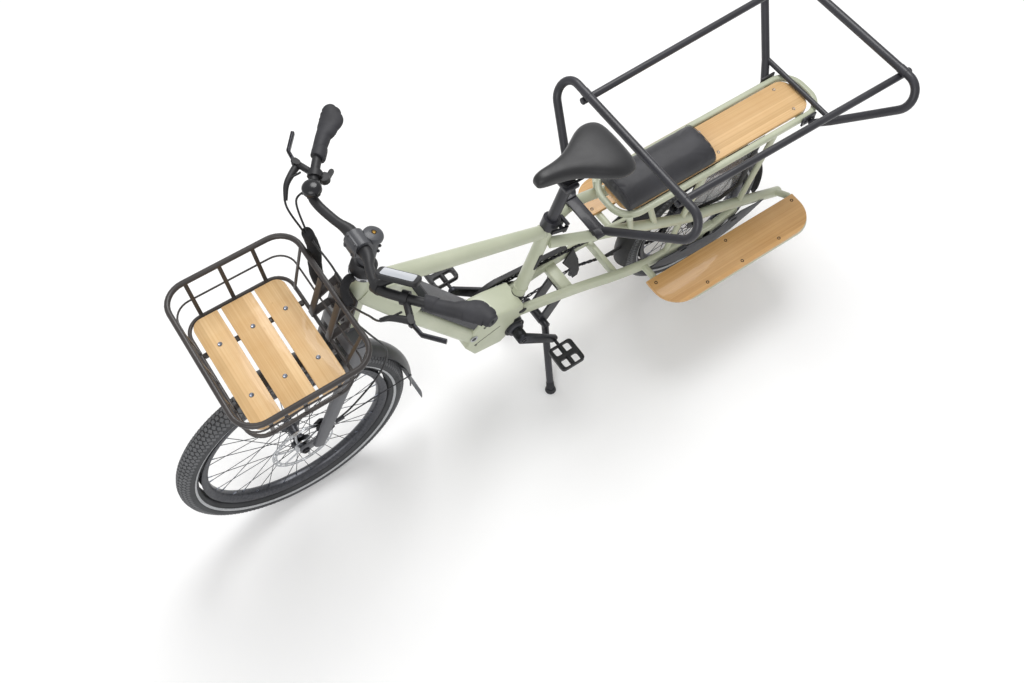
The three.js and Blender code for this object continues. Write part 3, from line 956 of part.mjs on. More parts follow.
// Brake levers, shifter, bell and display
const atBar = (x, y, z) => barCentre.clone().add(vec(x, y, z));
both.forEach(([name, side]) => {
  const pivot = atBar(brake.pivotX, side * brake.pivotY, brake.pivotZ);
  const { place } = barAt(brake.clampAt, side);
  const reach = pivot.clone().sub(place);
  const stop = place.clone().addScaledVector(reach.clone().normalize(), reach.length() - lever.boss - brake.ear);
  const pieces = [clampOn(brake.clampAt, side, brake.clampLength, brake.clampRadius), rod(place, stop, brake.bodyRadius, 8)];
  const up = vec(0, 0, 1);
  [1, -1].forEach((way) => {
    const near = way * brake.earInner;
    const far = way * (brake.earInner + brake.ear);
    const ear = hullOf(pivot.x, pivot.y, lever.boss - 1, stop.x, stop.y, lever.boss - 1, 3);
    const level = [pivot.z + Math.min(near, far), pivot.z + Math.max(near, far)];
    pieces.push(planPlate(ear, level[0], level[1]));
  });
  const wall = rod(stop.clone().addScaledVector(up, -brake.earInner - 1), stop.clone().addScaledVector(up, brake.earInner + 1), brake.ear, 8);
  const pinEnd = brake.earInner + brake.ear - 1;
  pieces.push(wall, rod(pivot.clone().addScaledVector(up, -pinEnd), pivot.clone().addScaledVector(up, pinEnd), lever.pin, 8));
  if (side < 0) {
    const pod = atBar(shifter.x, -shifter.y, shifter.z);
    const upper = pod.clone().addScaledVector(up, shifter.height);
    pieces.push(rod(pod, upper, shifter.radius, 10), rod(upper.clone().addScaledVector(up, -shifter.height * half), place, brake.bodyRadius, 8));
    pieces.push(rod(pod.clone().addScaledVector(up, -shifter.thick - 2 * shifter.gap), pod.clone().addScaledVector(up, 1), lever.pin, 10));
  }
  add(`brake_mount_${name}`, cut(join(...pieces), barHole(clear)), matteBlack);
  const knee = atBar(lever.kneeX, side * lever.kneeY, brake.pivotZ);
  const tip = atBar(lever.tipX, side * lever.tipY, brake.pivotZ);
  const bladeBody = boxTube([pivot, knee, tip], lever.width, lever.thick, up);
  const boss = rod(pivot.clone().addScaledVector(up, -lever.height), pivot.clone().addScaledVector(up, lever.height), lever.boss, 14);
  const hole = rod(pivot.clone().addScaledVector(up, -wheelbase * half), pivot.clone().addScaledVector(up, wheelbase * half), lever.bore, 12);
  const headRoom = slab(pivot.clone().sub(vec(lever.boss * 2, lever.boss * 2, overrun * 2)), pivot.clone().add(vec(lever.boss * 2, lever.boss * 2, -lever.height)));
  const overRoom = headRoom.clone().translate(0, 0, 2 * lever.height + (overrun * 2 - lever.height));
  add(`brake_blade_${name}`, cut(join(bladeBody, boss), hole, headRoom, overRoom), matteBlack);
});
const pod = atBar(shifter.x, -shifter.y, shifter.z);
const paddleTop = pod.z - shifter.gap;
const paddleOutline = hullOf(pod.x, pod.y, shifter.width * half, barCentre.x + shifter.tipX, -shifter.tipY, shifter.width * half, 5);
const paddlePlate = planPlate(paddleOutline, paddleTop - shifter.thick, paddleTop);
const paddleHole = rod(pod.clone().setZ(paddleTop - overrun * 2), pod.clone().setZ(paddleTop + overrun), lever.bore, 10);
add("shift_paddle", cut(paddlePlate, paddleHole), matteBlack);

function bellBody() {
  const { place } = barAt(bell.at, -1);
  const base = place.clone().setZ(barCentre.z + bell.base);
  const dome = turned([flat(0, 0), flat(bell.dome, 0), ...arcPoints(0, bell.rise * domeShares.wall, bell.dome, 0, Math.PI * half * domeShares.arc, 4)
    .map((p) => flat(p.x, bell.rise * domeShares.wall + (p.y - bell.rise * domeShares.wall) * domeShares.flatten)),
  flat(0, bell.rise)], 14);
  dome.rotateX(Math.PI * half).translate(base.x, base.y, base.z);
  return cut(join(clampOn(bell.at, -1, bell.length, bell.ring), rod(place, base.clone().setZ(base.z + 1), bell.post, 8), dome), barHole(clear));
}
const domeShares = { wall: 0.25, arc: 0.8, flatten: 0.55 };
add("bell", bellBody(), satinBlack);

function displayBody() {
  const centre = atBar(display.x, display.y, display.z);
  const [w, l] = [display.width * half, display.length * half];
  const plate = planPlate(roundedBox(flat(-l, -w), flat(l, w), display.thick, 3), -display.thick * half, display.thick * half, display.bevel);
  plate.rotateX(degrees(display.tilt)).rotateZ(degrees(display.turn)).translate(...centre.toArray());
  const { place } = barAt(display.at, 1);
  const post = rod(place, centre, bell.post * 2, 10);
  return cut(join(clampOn(display.at, 1, bell.length * 2, bell.ring), post, plate), barHole(clear));
}
add("display", displayBody(), matteBlack);

// Saddle, its post and the post's clamp
function seatPostBody() {
  const post = rod(onSeat(seatPost.bottom), onSeat(seatPost.top), seatPost.radius, 16);
  const top = onSeat(seatPost.top);
  const headTop = saddleRail.low - saddle.railRadius - clear;
  const rear = top.x - seatPost.headLength * half + seatPost.headBack;
  const block = slab(vec(rear, -seatPost.headHalf, headTop - seatPost.headThick), vec(rear + seatPost.headLength, seatPost.headHalf, headTop));
  return join(post, rod(onSeat(seatPost.top - overrun), vec(top.x, 0, headTop - 1), seatPost.radius, 14), block);
}
add("seat_post", seatPostBody(), matteBlack);

const saddleStationShares = [0, 0.03, 0.09, 0.2, 0.33, 0.46, 0.6, 0.75, 0.89, 0.97, 1];
const saddleWideShares = [0.62, 0.84, 0.96, 1, 0.86, 0.6, 0.38, 0.27, 0.23, 0.19, 0.12];
const saddleTallShares = [0.45, 0.75, 0.95, 1, 0.97, 0.9, 0.85, 0.82, 0.78, 0.6, 0.3];
const saddleSectionShares = [[0.8, 0], [1, 0.3], [0.98, 0.55], [0.84, 0.78], [0.55, 0.93], [0.2, 1], [-0.2, 1], [-0.55, 0.93],
  [-0.84, 0.78], [-0.98, 0.55], [-1, 0.3], [-0.8, 0]];
function saddleBody() {
  const rise = saddle.rimFront - saddle.rimRear;
  const stations = saddleStationShares.map((share) =>
    vec(middle(saddle.rear, saddle.front, share), 0, saddle.rimRear - saddle.thick * half + rise * share));
  const section = saddleSectionShares.map(([y, z]) => flat(y * saddle.halfWidth, z * saddle.thick));
  const flatKnots = stations.map((p) => vec(p.x, 0, 0));
  const shell = sweep(section, flatKnots, vec(0, 1, 0));
  const places = shell.attributes.position;
  for (let i = 0; i < places.count; i += 1) {
    const index = stations.findIndex((p) => Math.abs(p.x - places.getX(i)) < clear);
    places.setY(i, places.getY(i) * saddleWideShares[index]);
    places.setZ(i, stations[index].z + places.getZ(i) * saddleTallShares[index]);
  }
  const rails = both.map(([, side]) => {
    const y = side * saddle.railOut;
    const high = saddleRail.low + saddleRail.rise;
    const knots = [vec(saddleRail.rear, y, high), vec(saddleRail.bendRear, y, saddleRail.low)];
    knots.push(vec(saddleRail.bendFront, y, saddleRail.low), vec(saddleRail.front, y * half, high + saddleRail.rise * railShare));
    return tube(knots, saddle.railRadius, 8);
  });
  return join(shell, ...rails);
}
const railShare = 0.6;
add("saddle", saddleBody(), fabric);

function collarBody() {
  const band = rod(vec(0, 0, 0), vec(0, 0, collar.top - collar.bottom), collar.radius, 16);
  const tall = collar.top - collar.bottom;
  const ears = slab(vec(-collar.earBack, -collar.ear, tall * collarShares.low), vec(0, collar.ear, tall * collarShares.high));
  const pin = rod(vec(-collar.pinBack, collar.pinOut, 0), vec(-collar.pinBack, collar.pinOut, tall), collar.pin, 8);
  const lugs = [[0, collarShares.lug], [1 - collarShares.lug, 1]].map(([a, b]) =>
    slab(vec(-collar.pinBack - collar.pin * 2, 0, tall * a), vec(-collar.pinBack + collar.pin * 2, collar.pinOut + collar.pin, tall * b)));
  const spine = slab(vec(-collar.pinBack - collar.pin * 2, -collar.pin, 0), vec(-collar.pinBack + collar.pin * 2, collar.pin * 2, tall));
  const placed = seated(join(band, ears, pin, spine, ...lugs), collar.bottom);
  const tubeHole = seatHole(seatTube.radius + clear, collar.bottom - overrun, seatTube.top + clear);
  return cut(placed, tubeHole, seatHole(seatTube.bore, collar.bottom - overrun, collar.top + overrun));
}
const collarShares = { low: 0.25, high: 0.75, lug: 0.16 };
add("seat_collar", collarBody(), matteBlack);

function collarLeverBody() {
  const tall = collar.top - collar.bottom;
  const mid = tall * half;
  const boss = rod(vec(0, 0, mid - collarLever.height * half), vec(0, 0, mid + collarLever.height * half), collarLever.boss, 12);
  const arm = slab(vec(0, collarLever.boss - collarLever.thick, mid - collarLever.height * half + 1),
    vec(collarLever.length, collarLever.boss, mid + collarLever.height * half - 1));
  const hole = rod(vec(0, 0, 0), vec(0, 0, tall), collarLever.bore, 10);
  const body = cut(join(boss, arm), hole).translate(-collar.pinBack, collar.pinOut, 0);
  return seated(body, collar.bottom);
}
add("collar_lever", collarLeverBody(), matteBlack);

// Cables, gathered in a sleeve at the right of the head tube
const loomShares = {
  sleeve: [[0.532, -0.533, -0.508], [0.5, -0.518, -1.03], [0.59, -0.478, -1.434], [0.645, -0.385, -1.797],
    [0.443, -0.243, -1.862], [0.403, -0.081, -1.757]],
  gear: [[-0.028, -0.733, 0.1], [0.2, -0.745, 0.04], [0.46, -0.72, -0.05], [0.532, -0.56, -0.45], [0.532, -0.5, -0.6]],
  brakeRight: [[0.14, -0.878, 0.227], [0.45, -0.86, 0.2], [0.66, -0.72, 0], [0.6, -0.57, -0.42], [0.55, -0.51, -0.6]],
  brakeLeft: [[0.14, 0.875, 0.226], [0.5, 0.82, 0.12], [0.54, 0.6, -0.3], [0.57, 0.35, -0.75], [0.57, 0.2, -0.98],
    [0.52, 0.1, -0.78], [0.5, -0.1, -0.62], [0.52, -0.35, -0.6], [0.52, -0.5, -0.62]],
};
const loomReach = { x: 124, y: 247, z: 124 };
const onLoom = (shares) => along(shares, loomReach).map((p) => p.add(barCentre));
function loomBody() {
  const { sleeve, ...cables } = loomShares;
  const smooth = (shares, count) => new THREE.CatmullRomCurve3(onLoom(shares), false, "centripetal").getPoints(count);
  const pieces = [tube(smooth(sleeve, 10), cable.sleeve, 7)];
  Object.values(cables).forEach((shares) => pieces.push(tube(smooth(shares, 2 * shares.length), cable.radius, 4)));
  return cut(join(...pieces), rod(onHead(head.bottom), onHead(head.top), head.radius + clear, 20));
}
add("cable_loom", loomBody(), matteBlack);

bike.updateMatrixWorld(true);
const bounds = new THREE.Box3().setFromObject(bike);
bike.position.x = -(bounds.min.x + bounds.max.x) * half;

export default bike;
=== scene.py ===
# A longtail electric cargo bicycle on its centre stand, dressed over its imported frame.
# The pieces are built in millimetres from the point on the ground under the rear axle,
# +X forward, +Y to the rider's left, +Z up, and put into the row frame's metres when they are finished.
import math
from types import SimpleNamespace as Sizes

import bmesh
import bpy
from mathutils import Matrix, Vector


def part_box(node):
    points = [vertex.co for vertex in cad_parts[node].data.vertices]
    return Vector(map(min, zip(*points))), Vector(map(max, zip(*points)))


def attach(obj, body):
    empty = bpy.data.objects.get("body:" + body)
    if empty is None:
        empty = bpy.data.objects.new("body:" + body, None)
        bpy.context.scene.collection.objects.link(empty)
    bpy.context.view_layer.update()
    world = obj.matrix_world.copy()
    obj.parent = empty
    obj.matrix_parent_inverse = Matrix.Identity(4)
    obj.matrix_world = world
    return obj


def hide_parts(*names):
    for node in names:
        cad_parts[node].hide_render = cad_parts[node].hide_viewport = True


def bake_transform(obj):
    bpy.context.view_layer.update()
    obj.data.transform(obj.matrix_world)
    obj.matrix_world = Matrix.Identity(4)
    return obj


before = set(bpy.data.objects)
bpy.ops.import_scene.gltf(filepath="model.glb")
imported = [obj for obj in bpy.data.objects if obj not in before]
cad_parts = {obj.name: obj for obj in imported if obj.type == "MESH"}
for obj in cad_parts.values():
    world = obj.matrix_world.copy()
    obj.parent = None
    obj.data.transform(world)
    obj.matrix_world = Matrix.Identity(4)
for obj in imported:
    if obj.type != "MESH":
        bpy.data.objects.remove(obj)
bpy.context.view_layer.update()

MM = 0.001
TURN = 2 * math.pi
UP = Vector((0, 0, 1))
LEFT = Vector((0, 1, 0))
AHEAD = Vector((1, 0, 0))
SIDES = (("left", 1), ("right", -1))
rear_low, rear_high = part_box("tyre_rear")
TO_ROW = Matrix.Translation(((rear_low.x + rear_high.x) / 2, 0, 0)) @ Matrix.Scale(MM, 4)


def at(x, y, z):
    return Vector((x, y, z))


# Driving sizes, in millimetres
wheelbase = 1374
front_tyre = Sizes(radius=334, section=29, knobs=150)
rear_tyre = Sizes(radius=258, section=28, knobs=116)
head = Sizes(angle=68.5, bottom=478, top=648, foot_x=1330.27, foot_z=294.775)
bracket = Sizes(x=693, z=305)
bar = Sizes(height=758, reach=35, radius=11.1, clamp=15.9, ahead=124, half=338, rise=33)
chain_line = 53
pitch = 12.7
deck = Sizes(height=605, half=78, rear=-365, front=361, corner=62)

head_turn = math.radians(head.angle)
head_axis = Vector((-math.cos(head_turn), 0, math.sin(head_turn)))
head_ahead = Vector((math.sin(head_turn), 0, math.cos(head_turn)))
front_axle = at(wheelbase, 0, front_tyre.radius)
rear_axle = at(0, 0, rear_tyre.radius)
steer_foot = at(head.foot_x, 0, head.foot_z)
crank_axle = at(bracket.x, 0, bracket.z)


def on_head(up, ahead=0.0, left=0.0):
    return steer_foot + head_axis * up + head_ahead * ahead + LEFT * left


bar_centre = on_head(bar.height, bar.reach)


# Camera, lights and floor
view = Sizes(x=1525.5, y=1198, z=2885, azimuth=144.31, elevation=61.97, roll=1.51)
photo = Sizes(width=1024, focal=1022.5, sensor=36)


def aim_camera():
    turn, rise, roll = (math.radians(v) for v in (view.azimuth, view.elevation, view.roll))
    back = Vector((math.sin(turn) * math.cos(rise), -math.cos(turn) * math.cos(rise), math.sin(rise)))
    right = (-back).cross(UP).normalized()
    above = right.cross(-back)
    leaned = right * math.cos(roll) + above * math.sin(roll)
    risen = above * math.cos(roll) - right * math.sin(roll)
    data = bpy.data.cameras.new("camera")
    data.sensor_width = photo.sensor
    data.lens = photo.focal / photo.width * photo.sensor
    data.clip_end = 100
    camera = bpy.data.objects.new("camera", data)
    camera.matrix_world = Matrix((leaned, risen, back)).transposed().to_4x4()
    camera.location = TO_ROW @ at(view.x, view.y, view.z)
    bpy.context.collection.objects.link(camera)
    bpy.context.scene.camera = camera


def soft_lamp(name, place, size, power):
    data = bpy.data.lights.new(name, "AREA")
    data.shape = "DISK"
    data.size = size
    data.energy = power
    lamp = bpy.data.objects.new(name, data)
    lamp.location = place
    lamp.rotation_euler = (Vector((0, 0, 0.4)) - Vector(place)).to_track_quat("-Z", "Y").to_euler()
    bpy.context.collection.objects.link(lamp)


def light_studio():
    world = bpy.data.worlds.new("studio")
    bpy.context.scene.world = world
    world.use_nodes = True
    background = world.node_tree.nodes["Background"]
    background.inputs["Color"].default_value = (1, 1, 1, 1)
    background.inputs["Strength"].default_value = 0.62
    soft_lamp("key", (-1.2, -1.6, 4.2), 2.6, 105)
    soft_lamp("fill", (2.6, 2.2, 3.4), 3.0, 52)
    bpy.context.scene.view_settings.view_transform = "Standard"


def colour(code):
    parts = [int(code[i:i + 2], 16) / 255 for i in (1, 3, 5)]
    return [p / 12.92 if p <= 0.04045 else ((p + 0.055) / 1.055) ** 2.4 for p in parts]


# Finishes
def plain(name, code, roughness, metallic=0.0, coat=0.0, sheen=0.0, specular=0.5):
    finish = bpy.data.materials.new(name)
    finish.use_nodes = True
    shader = finish.node_tree.nodes["Principled BSDF"]
    shader.inputs["Base Color"].default_value = (*colour(code), 1)
    shader.inputs["Roughness"].default_value = roughness
    shader.inputs["Metallic"].default_value = metallic
    shader.inputs["Coat Weight"].default_value = coat
    shader.inputs["Sheen Weight"].default_value = sheen
    shader.inputs["Specular IOR Level"].default_value = specular
    return finish


def node(finish, kind, links=None, **values):
    tree = finish.node_tree
    made = tree.nodes.new(kind)
    for key, value in values.items():
        setattr(made, key, value)
    for socket, source in (links or {}).items():
        if hasattr(source, "links"):
            tree.links.new(source, made.inputs[socket])
        else:
            made.inputs[socket].default_value = source
    return made


def shader_of(finish):
    return finish.node_tree.nodes["Principled BSDF"]


def placed(finish, scale=(1, 1, 1)):
    spot = node(finish, "ShaderNodeTexCoord")
    links = {"Vector": spot.outputs["Object"], "Scale": scale}
    return node(finish, "ShaderNodeMapping", links).outputs["Vector"]


def noise(finish, scale, detail=4.0, stretch=(1, 1, 1)):
    links = {"Vector": placed(finish, stretch), "Scale": scale, "Detail": detail}
    return node(finish, "ShaderNodeTexNoise", links).outputs["Fac"]


def ramp(finish, value, low, high, first=0.35, last=0.65):
    made = node(finish, "ShaderNodeValToRGB", {"Fac": value})
    made.color_ramp.elements[0].position = first
    made.color_ramp.elements[1].position = last
    made.color_ramp.elements[0].color = (*colour(low), 1)
    made.color_ramp.elements[1].color = (*colour(high), 1)
    return made.outputs["Color"]


def tinted(finish, value, low, high, first=0.35, last=0.65):
    finish.node_tree.links.new(ramp(finish, value, low, high, first, last), shader_of(finish).inputs["Base Color"])


def uneven(finish, value, low, high):
    links = {"Value": value, "To Min": low, "To Max": high}
    made = node(finish, "ShaderNodeMapRange", links)
    finish.node_tree.links.new(made.outputs["Result"], shader_of(finish).inputs["Roughness"])


def bumped(finish, height, strength, distance):
    made = node(finish, "ShaderNodeBump", {"Height": height, "Strength": strength, "Distance": distance})
    finish.node_tree.links.new(made.outputs["Normal"], shader_of(finish).inputs["Normal"])


def painted(name, low, high, roughness, grain, strength):
    finish = plain(name, high, roughness, coat=0.12)
    tinted(finish, noise(finish, 9, 3), low, high)
    uneven(finish, noise(finish, 60, 5), roughness - 0.06, roughness + 0.08)
    bumped(finish, noise(finish, grain, 2), strength, 0.0004)
    return finish


def moulded(name, low, high, roughness, grain=900, strength=0.35):
    finish = plain(name, high, roughness)
    tinted(finish, noise(finish, 14, 4), low, high)
    uneven(finish, noise(finish, 90, 4), roughness - 0.08, roughness + 0.1)
    bumped(finish, noise(finish, grain, 3), strength, 0.0003)
    return finish


def brushed(name, low, high, roughness):
    finish = plain(name, high, roughness, metallic=1.0)
    tinted(finish, noise(finish, 160, 6), low, high)
    uneven(finish, noise(finish, 240, 6), roughness - 0.08, roughness + 0.12)
    bumped(finish, noise(finish, 700, 4), 0.12, 0.0002)
    return finish


# Laminated bamboo: strips along the grain, fine fibres, and a darker joint across a strip here and there
def bamboo(name, tones, along_x, strip=0.019):
    finish = plain(name, tones[1], 0.42, coat=0.25)
    across = "Y" if along_x else "X"
    spot = node(finish, "ShaderNodeTexCoord")
    parts = node(finish, "ShaderNodeSeparateXYZ", {"Vector": spot.outputs["Object"]})
    count = node(finish, "ShaderNodeMath", {0: parts.outputs[across], 1: strip}, operation="DIVIDE")
    floor = node(finish, "ShaderNodeMath", {0: count.outputs[0]}, operation="FLOOR")
    strip_tone = node(finish, "ShaderNodeTexWhiteNoise", {"W": floor.outputs[0]}, noise_dimensions="1D")
    long, cross = (7, 1) if along_x else (1, 7)
    fibre_stretch = (3, 300, 200) if along_x else (300, 3, 200)
    fibres = noise(finish, 1.0, 6, fibre_stretch)
    cloud = noise(finish, 1.3, 3, (long, cross * 2, 4))
    knots = noise(finish, 1.0, 2, (42, 90, 20) if along_x else (90, 42, 20))
    base = ramp(finish, fibres, tones[0], tones[2], 0.3, 0.7)
    warm = ramp(finish, cloud, tones[1], tones[2], 0.35, 0.7)
    mix = node(finish, "ShaderNodeMix", {"Factor": 0.45}, data_type="RGBA")
    finish.node_tree.links.new(base, mix.inputs[6])
    finish.node_tree.links.new(warm, mix.inputs[7])
    strips = ramp(finish, strip_tone.outputs["Value"], "#e9e4da", "#ffffff", 0, 1)
    tone = node(finish, "ShaderNodeMix", {"Factor": 1.0}, data_type="RGBA", blend_type="MULTIPLY")
    finish.node_tree.links.new(mix.outputs[2], tone.inputs[6])
    finish.node_tree.links.new(strips, tone.inputs[7])
    flecks = ramp(finish, knots, "#ffffff", "#d8bd97", 0.72, 0.82)
    done = node(finish, "ShaderNodeMix", {"Factor": 0.5}, data_type="RGBA", blend_type="MULTIPLY")
    finish.node_tree.links.new(tone.outputs[2], done.inputs[6])
    finish.node_tree.links.new(flecks, done.inputs[7])
    finish.node_tree.links.new(done.outputs[2], shader_of(finish).inputs["Base Color"])
    uneven(finish, fibres, 0.34, 0.52)
    bumped(finish, fibres, 0.12, 0.0003)
    return finish


def leather(name, low, high, roughness):
    finish = plain(name, high, roughness, sheen=0.15)
    cells = node(finish, "ShaderNodeTexVoronoi", {"Vector": placed(finish), "Scale": 620}, feature="DISTANCE_TO_EDGE")
    tinted(finish, noise(finish, 12, 5), low, high)
    uneven(finish, noise(finish, 40, 4), roughness - 0.07, roughness + 0.1)
    bumped(finish, cells.outputs["Distance"], 0.25, 0.0005)
    return finish


sage = painted("sage_paint", "#b4b9a1", "#bec2ab", 0.36, 500, 0.12)
black_coat = painted("charcoal_powder_coat", "#26262b", "#303036", 0.4, 1500, 0.3)
fork_coat = painted("fork_paint", "#515256", "#5b5c60", 0.42, 1200, 0.25)
black_plastic = moulded("black_moulding", "#141416", "#1e1e21", 0.5)
grey_plastic = moulded("grey_moulding", "#3c3d42", "#47484d", 0.52)
cover_plastic = moulded("battery_cover", "#2d2e33", "#36373c", 0.45, 1200)
tyre_rubber = moulded("tyre_rubber", "#3a3b3d", "#454648", 0.7, 1400, 0.5)
tread_rubber = moulded("tread_rubber", "#5f6062", "#6c6d6f", 0.75, 1400, 0.5)
rim_metal = brushed("rim_metal", "#4c4d51", "#5a5b5f", 0.34)
grip_rubber = moulded("grip_rubber", "#232327", "#2e2e33", 0.62, 1500, 0.6)
cable_skin = moulded("cable_skin", "#0d0d0f", "#151517", 0.38, 1600, 0.15)
sleeve_cloth = moulded("sleeve_cloth", "#101012", "#1d1d20", 0.85, 1100, 0.9)
stripe = plain("reflective_stripe", "#b4b6b8", 0.35, metallic=0.3)
steel = brushed("brushed_steel", "#b2b4b8", "#c6c8cb", 0.28)
dark_steel = brushed("dark_steel", "#2c2c2f", "#3b3b3f", 0.36)
zinc = brushed("zinc_bolts", "#7f8490", "#a4a9b4", 0.32)
gloss_black = moulded("gloss_black", "#151518", "#1f2023", 0.2, 400, 0.06)
flap_rubber = moulded("flap_rubber", "#55575c", "#606267", 0.6)
basket_coat = painted("basket_coat", "#332f2e", "#3f3a38", 0.38, 1400, 0.3)
stem_alloy = painted("stem_alloy", "#3b3c40", "#46474b", 0.42, 900, 0.2)
light_ring = moulded("light_ring", "#c2c3c6", "#d2d3d6", 0.4)
fender_shell = moulded("fender_shell", "#303134", "#3c3d40", 0.36, 900, 0.15)
brass = brushed("brass_screw", "#a8833c", "#c9a35a", 0.3)
forged = brushed("forged_alloy", "#37383c", "#45464b", 0.42)
deck_wood = bamboo("deck_bamboo", ("#cfa26a", "#dcb27b", "#e9c795"), True)
foot_wood = bamboo("footboard_bamboo", ("#bf8d50", "#cd9f62", "#d9b079"), True)
slat_wood = bamboo("slat_bamboo", ("#d6a96f", "#e4bb83", "#efcd9b"), False)
cushion_skin = leather("cushion_leatherette", "#26262a", "#303035", 0.5)
saddle_skin = leather("saddle_leatherette", "#131315", "#1c1c1f", 0.42)
lens_red = plain("red_lens", "#b0141a", 0.16, coat=0.6)
amber = plain("amber_reflector", "#e8741a", 0.2, coat=0.5)
# The display glass's light grey base colour is a painted reflection: it stands in for the glare on the screen, on top
# of its real glossy coat
screen = plain("display_glass_painted_reflection", "#b9bcc2", 0.08, coat=0.8)
smoked = plain("smoked_pane", "#55565b", 0.22, coat=0.3)
tinted(stripe, noise(stripe, 300, 3), "#a2a4a6", "#bcbec0")
tinted(lens_red, noise(lens_red, 220, 2), "#9a1016", "#c11a20")
tinted(amber, noise(amber, 260, 2), "#d8640f", "#f08a2c")
tinted(screen, noise(screen, 3, 2), "#a6aab2", "#c9ccd1")
tinted(smoked, noise(smoked, 6, 3), "#47484d", "#66676c")
shader_of(smoked).inputs["Alpha"].default_value = 0.55


# Shaping
def circle(radius, sides=20):
    return [(radius * math.cos(TURN * i / sides), radius * math.sin(TURN * i / sides)) for i in range(sides)]


def pill(width, height, corner, steps=4):
    outline = []
    for quarter, (x, y) in enumerate(((1, 1), (-1, 1), (-1, -1), (1, -1))):
        cx, cy = x * (width / 2 - corner), y * (height / 2 - corner)
        for i in range(steps + 1):
            turn = TURN / 4 * (quarter + i / steps)
            outline.append((cx + corner * math.cos(turn), cy + corner * math.sin(turn)))
    return outline


def arc(cx, cy, radius, start, end, steps):
    turns = [start + (end - start) * i / steps for i in range(steps + 1)]
    return [(cx + radius * math.cos(t), cy + radius * math.sin(t)) for t in turns]


def two_wheels(ax, ay, a, bx, by, b, steps=10):
    line = math.atan2(by - ay, bx - ax)
    lean = math.acos((a - b) / math.hypot(bx - ax, by - ay))
    return arc(bx, by, b, line - lean, line + lean, steps) + arc(ax, ay, a, line + lean, line + TURN - lean, steps)


# A path through its points with each corner rounded to one radius
def rounded(points, radius, steps=8):
    path = [points[0]]
    for before, corner, after in zip(points, points[1:], points[2:]):
        back = (before - corner).normalized()
        on = (after - corner).normalized()
        half = back.angle(on) / 2
        middle = corner + (back + on).normalized() * (radius / math.sin(half))
        start = corner + back * (radius / math.tan(half)) - middle
        end = corner + on * (radius / math.tan(half)) - middle
        turn = start.angle(end)
        for i in range(steps + 1):
            t = i / steps
            near, far = math.sin((1 - t) * turn) / math.sin(turn), math.sin(t * turn) / math.sin(turn)
            path.append(middle + start * near + end * far)
    return path + [points[-1]]


# A smooth path through given points
def eased(points, per=6):
    ends = [points[0] * 2 - points[1]] + list(points) + [points[-1] * 2 - points[-2]]
    path = []
    for a, b, c, d in zip(ends, ends[1:], ends[2:], ends[3:]):
        for i in range(per):
            t = i / per
            linear = b * 2 + (c - a) * t
            curved = (a * 2 - b * 5 + c * 4 - d) * (t * t) + (b * 3 - a - c * 3 + d) * (t * t * t)
            path.append((linear + curved) / 2)
    return path + [points[-1]]


def stations(path, closed=False, across=None):
    made = []
    side = None
    last = len(path) - 1
    for i, place in enumerate(path):
        before = place - path[i - 1] if i or closed else path[1] - place
        after = path[(i + 1) % len(path)] - place if i < last or closed else place - path[last - 1]
        line = (before.normalized() + after.normalized()).normalized()
        if across is not None:
            side = across
        elif side is None:
            side = line.orthogonal()
        side = (side - line * side.dot(line)).normalized()
        turned = Matrix((side, line.cross(side), line)).transposed().to_4x4()
        made.append(Matrix.Translation(place) @ turned)
    return made


def closed_edges(bm, ring):
    return [bm.edges.new((a, b)) for a, b in zip(ring, ring[1:] + ring[:1])]


def bridged(bm, rings):
    for a, b in zip(rings, rings[1:]):
        bmesh.ops.bridge_loops(bm, edges=a + b)
    for loop in (rings[0], rings[-1]):
        bmesh.ops.contextual_create(bm, geom=loop)


def sweep(bm, path, section, closed=False, across=None, sizes=None):
    frames = stations(path, closed, across)
    if sizes:
        frames = [f @ Matrix.Diagonal((wide, tall, 1, 1)) for f, (wide, tall) in zip(frames, sizes)]
    edges = closed_edges(bm, [bm.verts.new(frames[0] @ Vector((x, y, 0))) for x, y in section])
    first, made_faces = list(edges), []
    for before, now in zip(frames, frames[1:]):
        grown = bmesh.ops.extrude_edge_only(bm, edges=edges)["geom"]
        fresh = {item for item in grown if isinstance(item, bmesh.types.BMVert)}
        edges = [e for e in grown if isinstance(e, bmesh.types.BMEdge) and set(e.verts) <= fresh]
        made_faces += [item for item in grown if isinstance(item, bmesh.types.BMFace)]
        bmesh.ops.transform(bm, matrix=now @ before.inverted(), verts=list(fresh))
    if closed:
        made_faces += bmesh.ops.bridge_loops(bm, edges=first + edges)["faces"]
    else:
        for loop in (first, edges):
            made_faces += bmesh.ops.contextual_create(bm, geom=loop)["faces"]
    return made_faces


def tube(bm, path, radius, sides=20, closed=False):
    return sweep(bm, path, circle(radius, sides), closed)


def bar_between(bm, start, end, radius, sides=20, end_radius=None):
    line = end - start
    turn = line.to_track_quat("Z", "Y").to_matrix().to_4x4()
    matrix = Matrix.Translation((start + end) / 2) @ turn
    tip = radius if end_radius is None else end_radius
    return bmesh.ops.create_cone(bm, cap_ends=True, segments=sides, radius1=radius, radius2=tip,
                                 depth=line.length, matrix=matrix)["verts"]


# A profile of (distance from the axis, distance along it), turned all the way round
def spun(bm, profile, centre, axis=LEFT, steps=64, closed=False):
    side = axis.orthogonal().normalized()
    verts = [bm.verts.new(centre + side * r + axis * along) for r, along in profile]
    pairs = list(zip(verts, verts[1:])) + ([(verts[-1], verts[0])] if closed else [])
    edges = [bm.edges.new(pair) for pair in pairs]
    before = set(bm.faces)
    bmesh.ops.spin(bm, geom=verts + edges, cent=centre, axis=axis, dvec=(0, 0, 0), angle=TURN, steps=steps,
                   use_merge=True, use_duplicate=False)
    return [face for face in bm.faces if face not in before]


